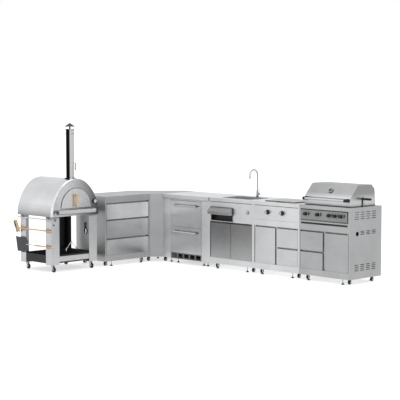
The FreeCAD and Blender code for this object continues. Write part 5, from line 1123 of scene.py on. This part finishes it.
# %% [markdown]
# The damper is a disc inside the flue on a rod that passes through it. The rod ends in a hanger
# with a beech grip, by which the cook turns the disc without burning a hand.

# %% Damper
DAMPER_LEVEL, DAMPER_REACH = 1.420, 0.092
DAMPER_ROD = (
    (0, -0.058), (0.003, -0.058), (0.004, -0.056), (0.004, DAMPER_REACH),
    (0, DAMPER_REACH + 0.003),
)
DAMPER_DISC = ((0, -0.0015), (0.043, -0.0015), (0.044, 0), (0.043, 0.0015), (0, 0.0015))
HANGER = (
    (0, 0.004), (0.004, 0.002), (0.004, -0.014), (0.0075, -0.014), (0.0075, -0.019),
    (0, -0.020),
)
DAMPER_GRIP = (
    (0, 0), (0.006, 0), (0.0085, 0.003), (0.0095, 0.02), (0.009, 0.045), (0.0095, 0.066),
    (0.0075, 0.079), (0, 0.080),
)
GRIP_DROP = 0.098
ROD_STEPS, GRIP_STEPS = 24, 32

damper_axis = at("oven", FLUE_X, FLUE_Y, DAMPER_LEVEL)
rod_tip = damper_axis + ACROSS_OVEN * DAMPER_REACH
rod = lathe(DAMPER_ROD, damper_axis, ACROSS_OVEN, ROD_STEPS)
disc = lathe(DAMPER_DISC, damper_axis, OUT_OF_OVEN)
hanger = lathe(HANGER, rod_tip, UP, ROD_STEPS)
piece("damper_rod", [rod, disc, hanger], "oven_damper", smoked_steel, ["oven_damper"])
grip = lathe(DAMPER_GRIP, rod_tip - UP * GRIP_DROP, UP, GRIP_STEPS)
piece("damper_grip", [grip], "oven_damper", beech_upright)
print("fitted the damper at", DAMPER_LEVEL, "m")

# %% [markdown]
# The door lifts off by an upright grip with a beech sleeve. A thin black bar runs round the arched
# doorway as painted shade for the gap round the door: it follows the arch, bent over half an
# ellipse.

# %% Door grip and the painted shade round the door
DOOR_GRIP = (0.3735, -0.092, 0.8458)
DOOR_GRIP_LENGTH = 0.176
SLEEVE_TURNS = 40
DOOR_SLEEVE = (
    (0, 0, -0.002), (0.009, 0, -0.002), (0.0125, 0, 0.003), (0.0135, 0, 0.04), (0.013, 0, 0.09),
    (0.0135, 0, 0.14), (0.0125, 1, -0.003), (0.009, 1, 0.002), (0, 1, 0.002),
)
DOOR_HALF, DOOR_RISE, DOOR_SILL = 0.2495, 0.257, 0.837
GAP_SHADE_FRONT, GAP_SHADE_RADIUS, GAP_SHADE_SIDES = -0.036, 0.0035, 10
OVEN_MIDDLE = 0.3875
ARCH_STEPS = 48

sleeve = lathe(
    scaled(DOOR_SLEEVE, 1, DOOR_GRIP_LENGTH), at("oven", *DOOR_GRIP), UP, SLEEVE_TURNS
)
piece("door_grip_sleeve", [sleeve], "oven_door", beech_upright)
turns = [math.pi * step / ARCH_STEPS for step in range(ARCH_STEPS + 1)]
arch = [
    at("oven", OVEN_MIDDLE - DOOR_HALF * math.cos(turn), GAP_SHADE_FRONT,
       DOOR_SILL + DOOR_RISE * math.sin(turn))
    for turn in turns
]
gap_shade = bar(arch, GAP_SHADE_RADIUS, GAP_SHADE_SIDES)
piece("door_gap_shade", [gap_shade], "root", black_plastic)
print("sleeved the grip and shaded an arch of", len(arch), "points")

# %% [markdown]
# A black plug closes the tube along the shelf's front edge. The rail on the cart's side leaves
# each leg through a black flange, and polished stoppers close its two ends.

# %% Shelf plug and rail fittings
SHELF_END = (0.016, -0.115, 0.795)
SHELF_PLUG = (
    (0, -0.006), (0.015, -0.005), (0.024, -0.001), (0.0275, 0.004), (0.0278, 0.010),
    (0.0265, 0.011),
)
RAIL_Z, RAIL_OUT = 0.700, -0.040
RAIL_POSTS = (0.0575, 0.5975)
RAIL_STEPS = 32
FLANGE = (
    (0.0055, 0.0002), (0.017, 0.0002), (0.0165, 0.003), (0.012, 0.006), (0.009, 0.018),
    (0.009, 0.036), (0.0055, 0.037),
)
STOPPER = ((0, 0.004), (0.005, 0.0035), (0.0085, 0.001), (0.0085, -0.006), (0.0075, -0.007))
RAIL_ENDS = ((-0.028, OUT_OF_OVEN), (0.657, -OUT_OF_OVEN))

plug = lathe(SHELF_PLUG, at("oven", *SHELF_END), ACROSS_OVEN)
piece("shelf_plug", [plug], "root", black_plastic)
flanges = [lathe(FLANGE, at("oven", 0, y, RAIL_Z), -ACROSS_OVEN, RAIL_STEPS) for y in RAIL_POSTS]
piece("rail_flanges", flanges, "root", black_plastic)
stoppers = [
    lathe(STOPPER, at("oven", RAIL_OUT, y, RAIL_Z), way, RAIL_STEPS) for y, way in RAIL_ENDS
]
piece("rail_ends", stoppers, "root", chrome)
print("fitted", len(flanges), "flanges and", len(stoppers), "stoppers")

# %% [markdown]
# The cart's front left leg carries a polished ring with a black button in it, and a second
# button below.

# %% Ring and buttons on the leg
STUD = (0.064, 0, 0.686)
LOWER_BUTTON = (0.044, 0, 0.624)
STUD_STEPS, BUTTON_STEPS = 40, 32
STUD_RING = (
    (0.011, 0.0002), (0.017, 0.0002), (0.0175, 0.004), (0.015, 0.007), (0.012, 0.006),
    (0.011, 0.0002),
)
BUTTON = ((0, 0.006), (0.006, 0.0055), (0.0105, 0.003), (0.011, 0.0002))

stud_ring = lathe(STUD_RING, at("oven", *STUD), OUT_OF_OVEN, STUD_STEPS)
piece("leg_stud_ring", [stud_ring], "root", chrome)
buttons = [
    lathe(BUTTON, at("oven", *place), OUT_OF_OVEN, BUTTON_STEPS) for place in (STUD, LOWER_BUTTON)
]
piece("leg_buttons", buttons, "root", black_plastic)
print("trimmed the leg with", len(buttons), "buttons")

# %% [markdown]
# ## Tools
# The oven's tools hang on its cart's side, all in one upright plane. The brush has a beech
# handle with a slight swell and a slanted beech head.

# %% Brush
TOOL_X = -0.026
TOOL_GRIP_RADIUS = 0.010
TOOL_GRIP = (
    (0, 0, 0), (0.6, 0, 0.001), (0.95, 0, 0.006), (1, 0.12, 0), (0.88, 0.4, 0),
    (1, 0.8, 0), (0.95, 1, -0.006), (0.6, 1, -0.001), (0, 1, 0),
)
BRUSH_Z = 0.550
BRUSH_FRONT, BRUSH_BACK = -0.065, 0.660
BRUSH_HEAD = ((0.640, 0.500), (0.672, 0.500), (0.744, 0.655), (0.712, 0.655))
HEAD_THICK, HEAD_ROUND = 0.020, 0.003


def tool_grip(start, end):
    """A turned handle with a slight swell and rounded ends."""
    outline = scaled(TOOL_GRIP, TOOL_GRIP_RADIUS, (end - start).length)
    return lathe(outline, start, end - start, GRIP_STEPS)


def flat_tool(outline, thick, round_by):
    """A flat part of a tool from (back, up) pairs, centred on the plane the tools hang in."""
    near = [at("oven", TOOL_X - thick / 2, y, z) for y, z in outline]
    return plate(near, ACROSS_OVEN * thick, round_by)


brush_grip = tool_grip(
    at("oven", TOOL_X, BRUSH_FRONT, BRUSH_Z), at("oven", TOOL_X, BRUSH_BACK, BRUSH_Z)
)
brush_head = flat_tool(BRUSH_HEAD, HEAD_THICK, HEAD_ROUND)
piece("brush", [brush_grip, brush_head], "root", beech_level, ["oven_tools"])
print("hung the brush")

# %% [markdown]
# The bristles stand in tufts, three rows along the head. Hair would be far too fine for this
# size, so a tuft is a short stiff bar that leans a little its own way. The seed makes them lean
# the same way each time.

# %% Bristles
HEEL, TOE = (0.668, 0.502), (0.742, 0.652)
BRISTLE_WAY = Vector((-0.035, 0, -0.016))
TUFTS, ROWS, ROW_GAP = 16, 3, 0.0055
TUFT_RADIUS, TUFT_SIDES = 0.0027, 6
TUFT_LEAN, TUFT_KNEE, KNEE_LEAN = 0.002, 0.6, 0.4
LEAN_SEED = 7

heel = at("oven", TOOL_X, *HEEL)
toe = at("oven", TOOL_X, *TOE)
random.seed(LEAN_SEED)
tufts = []
for row in range(ROWS):
    for step in range(TUFTS):
        root = heel.lerp(toe, (step + 0.5) / TUFTS) + ACROSS_OVEN * (row - 1) * ROW_GAP
        lean = Vector([random.uniform(-TUFT_LEAN, TUFT_LEAN) for _ in range(3)])
        knee = root + BRISTLE_WAY * TUFT_KNEE + lean * KNEE_LEAN
        tufts.append(bar([root, knee, root + BRISTLE_WAY + lean], TUFT_RADIUS, TUFT_SIDES))
piece("brush_bristles", tufts, "root", bristle)
print("set", len(tufts), "tufts")

# %% [markdown]
# The shovel has a beech handle, a polished neck with a ferrule and a dark steel blade. The
# blade's rear edges are rolled for stiffness, and two rivets hold it to the neck.

# %% Shovel
SHOVEL_Z = 0.342
SHOVEL_GRIP = (-0.095, 0.300)
NECK = (0.290, 0.440, 0.500)
NECK_RADIUS = 0.006
FERRULE_Y = 0.285
FERRULE = ((0, 0), (0.0105, 0), (0.0115, 0.003), (0.0115, 0.020), (0.008, 0.026), (0, 0.027))
BLADE = (
    (0.468, 0.290), (0.500, 0.240), (0.690, 0.240), (0.728, 0.436), (0.500, 0.425),
    (0.468, 0.390),
)
BLADE_THICK, BLADE_ROUND = 0.003, 0.0008
RIM_OUT, RIM_RADIUS, RIM_SIDES = 0.001, 0.003, 10
RIVETS, RIVET_OUT, RIVET_STEPS = (0.482, 0.496), 0.0015, 16
RIVET = ((0, 0.003), (0.003, 0.0025), (0.0045, 0))

shovel_grip = tool_grip(*[at("oven", TOOL_X, y, SHOVEL_Z) for y in SHOVEL_GRIP])
piece("shovel_grip", [shovel_grip], "root", beech_level)
neck = bar([at("oven", TOOL_X, y, SHOVEL_Z) for y in NECK], NECK_RADIUS)
ferrule = lathe(FERRULE, at("oven", TOOL_X, FERRULE_Y, SHOVEL_Z), -OUT_OF_OVEN, GRIP_STEPS)
piece("shovel_neck", [neck, ferrule], "root", chrome)
blade = flat_tool(BLADE, BLADE_THICK, BLADE_ROUND)
rolled = BLADE[4:] + BLADE[:2]
rim = bar([at("oven", TOOL_X - RIM_OUT, y, z) for y, z in rolled], RIM_RADIUS, RIM_SIDES)
rivets = [
    lathe(RIVET, at("oven", TOOL_X - RIVET_OUT, y, SHOVEL_Z), -ACROSS_OVEN, RIVET_STEPS)
    for y in RIVETS
]
piece("shovel_blade", [blade, rim, *rivets], "root", blade_steel)
print("hung the shovel with", len(rivets), "rivets")

# %% [markdown]
# A wheel cutter hangs on the side of the drawer cabinet: a steel disc ground thin at its edge,
# a black guard over its hub and a black grip above it.

# %% Wheel cutter
CUTTER_X, CUTTER_Y, CUTTER_Z = -0.0125, 0.415, 0.459
CUTTER_DISC = (
    (0, 0.0015), (0.030, 0.0012), (0.036, 0.0001), (0.036, -0.0001), (0.030, -0.0012),
    (0, -0.0015),
)
GUARD = ((0, 0.012), (0.006, 0.011), (0.008, 0.007), (0.008, -0.007), (0.006, -0.008), (0, -0.009))
CUTTER_GRIP = (
    (0, 0), (0.005, 0.001), (0.0075, 0.012), (0.0065, 0.04), (0.0085, 0.075), (0.006, 0.088),
    (0, 0.090),
)
CUTTER_GRIP_RAISE, SHANK_LENGTH = 0.030, 0.036
SHANK_RADIUS, SHANK_SIDES = 0.004, 16

axle = at("drawers", CUTTER_X, CUTTER_Y, CUTTER_Z)
wheel = lathe(CUTTER_DISC, axle, ACROSS_OVEN)
piece("cutter_wheel", [wheel], "root", chrome)
guard = lathe(GUARD, axle, -ACROSS_OVEN, GRIP_STEPS)
cutter_grip = lathe(
    CUTTER_GRIP, at("drawers", CUTTER_X, CUTTER_Y, CUTTER_Z + CUTTER_GRIP_RAISE), UP, GRIP_STEPS
)
shank_top = at("drawers", CUTTER_X, CUTTER_Y, CUTTER_Z + SHANK_LENGTH)
shank = bar([axle, shank_top], SHANK_RADIUS, SHANK_SIDES)
piece("cutter_grip", [guard, cutter_grip, shank], "root", black_plastic)
print("hung the wheel cutter at", tuple(round(v, 3) for v in axle))


# %% [markdown]
# ## Wheels and feet
# A caster is a rubber tyre between two hub caps, held by a fork under a stem. All casters of
# the island are built alike and differ in size, so one function makes them: the fork's cheeks
# run from the axle up to a crown plate, which may stand to one side of the wheel.

# %% Build a caster
TYRE = (
    (0.3, -1, 0), (0.8, -1, 0), (0.96, -0.75, 0), (1, -0.3, 0), (1, 0.3, 0),
    (0.96, 0.75, 0), (0.8, 1, 0), (0.3, 1, 0), (0.3, -1, 0),
)
TYRE_STEPS, HUB_STEPS, STEM_STEPS = 40, 24, 32
HUB_CAP = ((0, 0, 0.003), (0.24, 0, 0.0025), (0.34, 0, 0), (0.34, 0, -0.002))
CHEEK_SHEET, CHEEK_ROUND, CROWN_ROUND = 0.12, 0.2, 0.25
CHEEK_FOOT, CHEEK_DROP, CHEEK_HEAD = 0.3, 0.25, 0.55
CROWN_HALF = 0.6
SWIVEL_RADIUS, SWIVEL_BEVEL, SWIVEL_TOP = 0.62, 0.004, 0.007


def caster(centre, axle, pivot, radius, width, crown, top, stem):
    """Meshes of the tyre, of the fork that holds it and of the two hub caps."""
    ahead = axle.cross(UP)
    half = width / 2
    sheet = width * CHEEK_SHEET
    offset = (pivot - centre).dot(ahead)
    rise = crown - centre.z
    cheek = (
        (-radius * CHEEK_FOOT, -radius * CHEEK_DROP), (radius * CHEEK_FOOT, -radius * CHEEK_DROP),
        (offset + radius * CHEEK_HEAD, rise), (offset - radius * CHEEK_HEAD, rise),
    )
    fork, hubs = [], []
    for side in (-1, 1):
        inside = centre + axle * side * (half + sheet / 2)
        outline = [inside + ahead * across + UP * up for across, up in cheek]
        fork.append(plate(outline, axle * side * sheet, sheet * CHEEK_ROUND))
        outside = inside + axle * side * sheet
        hubs.append(lathe(scaled(HUB_CAP, radius), outside, axle * side, HUB_STEPS))
    post = Vector((pivot.x, pivot.y, 0))
    reach = half + sheet * 3 / 2
    crown_half = radius * CROWN_HALF
    corners = rectangle((-reach, reach), (-crown_half, crown_half))
    outline = [post + axle * across + ahead * far + UP * crown for across, far in corners]
    fork.append(plate(outline, UP * sheet, sheet * CROWN_ROUND))
    swivel = (
        (0, crown), (crown_half, crown), (radius * SWIVEL_RADIUS, crown + SWIVEL_BEVEL),
        (stem, crown + SWIVEL_TOP), (stem, top), (0, top),
    )
    fork.append(lathe(swivel, post, UP, STEM_STEPS))
    tyre = lathe(scaled(TYRE, radius, half), centre, axle, TYRE_STEPS)
    return tyre, fork, hubs


# %% [markdown]
# The wheels under the cabinets stand straight below their stems, in black forks with bright hub
# caps. A caster's box is longer along the way it rolls, which tells the way its axle lies.

# %% Casters under the cabinets
CABINET_WHEEL, CABINET_WHEEL_WIDTH = 0.0275, 0.022
CABINET_CROWN, CABINET_STEM = 0.060, 0.007

tyres, forks, caps = [], [], []
for low, high in islands("cabinet_casters"):
    middle = (low + high) / 2
    axle = ALONG_RUN if high.x - low.x < high.y - low.y else ACROSS_OVEN
    centre = Vector((middle.x, middle.y, low.z + CABINET_WHEEL))
    tyre, fork, hubs = caster(
        centre, axle, centre, CABINET_WHEEL, CABINET_WHEEL_WIDTH, CABINET_CROWN, high.z,
        CABINET_STEM,
    )
    tyres.append(tyre)
    forks += fork
    caps += hubs
print("casters under the cabinets:", len(tyres))
piece("cabinet_tyres", tyres, "root", tread, ["cabinet_casters"])
piece("cabinet_forks", forks, "root", black_paint)
piece("cabinet_hub_caps", caps, "root", chrome)

# %% [markdown]
# The oven's wheels are larger. Each fork swivels on a pin in its leg, with the wheel trailing
# behind the pin, so the pieces ride on the caster's own body.

# %% Casters of the oven
OVEN_WHEEL, OVEN_WHEEL_WIDTH, OVEN_TRAIL = 0.035, 0.024, 0.020
OVEN_CROWN, OVEN_PIN_TOP, OVEN_STEM = 0.0845, 0.0965, 0.018
KINGPIN_X, KINGPIN_Y = 0.067, 0.057
CART_WIDTH, CART_DEPTH = 0.775, 0.655

wheels = 0
for end, y in (("front", KINGPIN_Y), ("rear", CART_DEPTH - KINGPIN_Y)):
    for side, x in (("left", KINGPIN_X), ("right", CART_WIDTH - KINGPIN_X)):
        body = f"oven_caster_{end}_{side}"
        centre = at("oven", x, y - OVEN_TRAIL, OVEN_WHEEL)
        tyre, fork, hubs = caster(
            centre, ACROSS_OVEN, at("oven", x, y, 0), OVEN_WHEEL, OVEN_WHEEL_WIDTH, OVEN_CROWN,
            OVEN_PIN_TOP, OVEN_STEM,
        )
        piece(f"{body}_tyre", [tyre], body, tread, [body])
        piece(f"{body}_fork", fork + hubs, body, bright_metal)
        wheels += 1
print("wheels under the oven:", wheels)

# %% [markdown]
# A levelling foot is a black pad with a dished top on a threaded steel stem. A real thread is a
# helix. At this size rings do as well, so the thread is a saw-toothed outline that is turned.

# %% Feet
FOOT_PAD = (
    (0, 0.0003), (0.020, 0.0003), (0.022, 0.003), (0.0215, 0.006), (0.014, 0.009),
    (0.009, 0.014), (0.0085, 0.020), (0, 0.020),
)
STEM_FOOT, STEM_RADIUS = 0.018, 0.005
THREAD_START, THREAD_TOP, THREAD_PITCH = 0.021, 0.060, 0.003
THREAD_CREST, THREAD_ROOT = 0.0056, 0.0048
PAD_STEPS, THREAD_STEPS = 32, 16

thread = [(0, STEM_FOOT), (STEM_RADIUS, STEM_FOOT)]
level = THREAD_START
while level < THREAD_TOP:
    thread += [(THREAD_CREST, level), (THREAD_ROOT, level + THREAD_PITCH / 2)]
    level += THREAD_PITCH
thread.append((STEM_RADIUS, THREAD_TOP))
pads, stems = [], []
for low, high in islands("levelling_feet"):
    foot = Vector(((low.x + high.x) / 2, (low.y + high.y) / 2, 0))
    pads.append(lathe(FOOT_PAD, foot, UP, PAD_STEPS))
    stems.append(lathe([*thread, (STEM_RADIUS, high.z), (0, high.z)], foot, UP, THREAD_STEPS))
print("feet:", len(pads))
piece("foot_pads", pads, "root", black_plastic, ["levelling_feet"])
piece("foot_stems", stems, "root", chrome)


# %% [markdown]
# ## Room
# The photograph is a cut-out on white, so the camera sees white where the room is. Light Path
# tells which kind of ray asks: dull surfaces get one level grey, and the metal mirrors a studio
# of its own, brightest at the horizon and a little darker behind the island than in front.

# %% Room
ROOM_LEVEL = 0.8
BEHIND_ISLAND = (0.712, 0.702, 0.0)
STUDIO_HEIGHTS = ((0.0, 0.7), (0.49, 0.85), (0.52, 1.0), (0.66, 0.85), (0.8, 0.75), (1.0, 0.9))
STUDIO_SIDES = (1.0, 0.85)


def colour_switch(tree, factor, otherwise):
    """A mix of two colours by a factor, with the first one set."""
    node = add(tree, "ShaderNodeMix", data_type="RGBA")
    first = next(s for s in node.inputs if s.identifier == "A_Color")
    second = next(s for s in node.inputs if s.identifier == "B_Color")
    mixed_colour = next(s for s in node.outputs if s.identifier == "Result_Color")
    tree.links.new(factor, node.inputs["Factor"])
    if isinstance(otherwise, tuple):
        first.default_value = otherwise
    else:
        tree.links.new(otherwise, first)
    return second, mixed_colour


def white_room():
    """A world: white to the camera, grey to dull surfaces, a studio to the metal."""
    world = bpy.data.worlds.new("Studio")
    bpy.context.scene.world = world
    world.use_nodes = True
    tree = world.node_tree
    # Each part of a direction runs from -1 to 1.
    height = spread(tree, along(tree, UPWARDS), 0, 1, -1, 1)
    side = spread(tree, along(tree, BEHIND_ISLAND), *STUDIO_SIDES, -1, 1)
    studio = dim(tree, greys(tree, height, STUDIO_HEIGHTS), side)
    ray = add(tree, "ShaderNodeLightPath")
    level = (ROOM_LEVEL, ROOM_LEVEL, ROOM_LEVEL, 1)
    mirrored, lighting = colour_switch(tree, ray.outputs["Is Glossy Ray"], level)
    tree.links.new(studio, mirrored)
    white, shown = colour_switch(tree, ray.outputs["Is Camera Ray"], lighting)
    white.default_value = (1, 1, 1, 1)
    tree.links.new(shown, tree.nodes["Background"].inputs["Color"])


white_room()
print("made the room")


# %% [markdown]
# The floor is a plain pale plane that shows white. It has to keep the soft shadow close to the
# wheels and feet, or the island floats, so a lift is added to it instead of replacing its
# shading. In the metal it shows one plain grey.

# %% Floor
FLOOR_SIZE = 160
FLOOR_COLOUR, FLOOR_ROUGHNESS = (0.8, 0.8, 0.8, 1), 0.9
FLOOR_IN_METAL = 0.75
FLOOR_LIFT = 0.6


def mixed(tree, factor, first, second):
    """One of two shaders, by a factor."""
    node = add(tree, "ShaderNodeMixShader")
    tree.links.new(factor, node.inputs[0])
    tree.links.new(first, node.inputs[1])
    tree.links.new(second, node.inputs[2])
    return node.outputs["Shader"]


def white_floor():
    """A floor: white with a soft shadow to the camera, grey in the metal."""
    bpy.ops.mesh.primitive_plane_add(size=FLOOR_SIZE, location=(0, 0, 0))
    floor = bpy.context.object
    floor.name = "floor"
    material, tree, shader = new_finish("Floor")
    shader.inputs["Base Color"].default_value = FLOOR_COLOUR
    shader.inputs["Roughness"].default_value = FLOOR_ROUGHNESS
    shader.inputs["Specular IOR Level"].default_value = 0
    plain = shader.outputs["BSDF"]
    ray = add(tree, "ShaderNodeLightPath")
    mirrored = add(tree, "ShaderNodeEmission", Strength=FLOOR_IN_METAL).outputs["Emission"]
    lift = add(tree, "ShaderNodeEmission", Strength=FLOOR_LIFT).outputs["Emission"]
    lifted = add(tree, "ShaderNodeAddShader")
    tree.links.new(plain, lifted.inputs[0])
    tree.links.new(lift, lifted.inputs[1])
    unseen = mixed(tree, ray.outputs["Is Glossy Ray"], plain, mirrored)
    shown = mixed(tree, ray.outputs["Is Camera Ray"], unseen, lifted.outputs["Shader"])
    tree.links.new(shown, tree.nodes["Material Output"].inputs["Surface"])
    floor.data.materials.append(material)


white_floor()
print("laid the floor")


# %% [markdown]
# ## Lamps
# Lamps as large as the object itself give soft edges to every reflection. The key hangs high on
# the camera's right, the fill stands low in front, and the top light lifts the counters.

# %% Lamps
LAMPS = (
    # name, place, aim, size, watts
    ("key", (7.5, -5.0, 5.0), (1.5, -0.6, 0.6), (4, 3), 70),
    ("fill", (3.0, -9.5, 2.6), (0.8, -0.6, 0.6), (4, 3), 40),
    ("top", (1.5, -0.8, 6.0), (1.5, -0.6, 0.9), (5, 4), 40),
)

for name, place, aim, size, watts in LAMPS:
    light = bpy.data.lights.new(name, "AREA")
    light.shape = "RECTANGLE"
    light.size, light.size_y = size
    light.energy = watts
    lamp = bpy.data.objects.new(name, light)
    lamp.location = place
    lamp.rotation_euler = (Vector(aim) - Vector(place)).to_track_quat("-Z", "Y").to_euler()
    bpy.context.scene.collection.objects.link(lamp)
print("hung", len(LAMPS), "lamps")
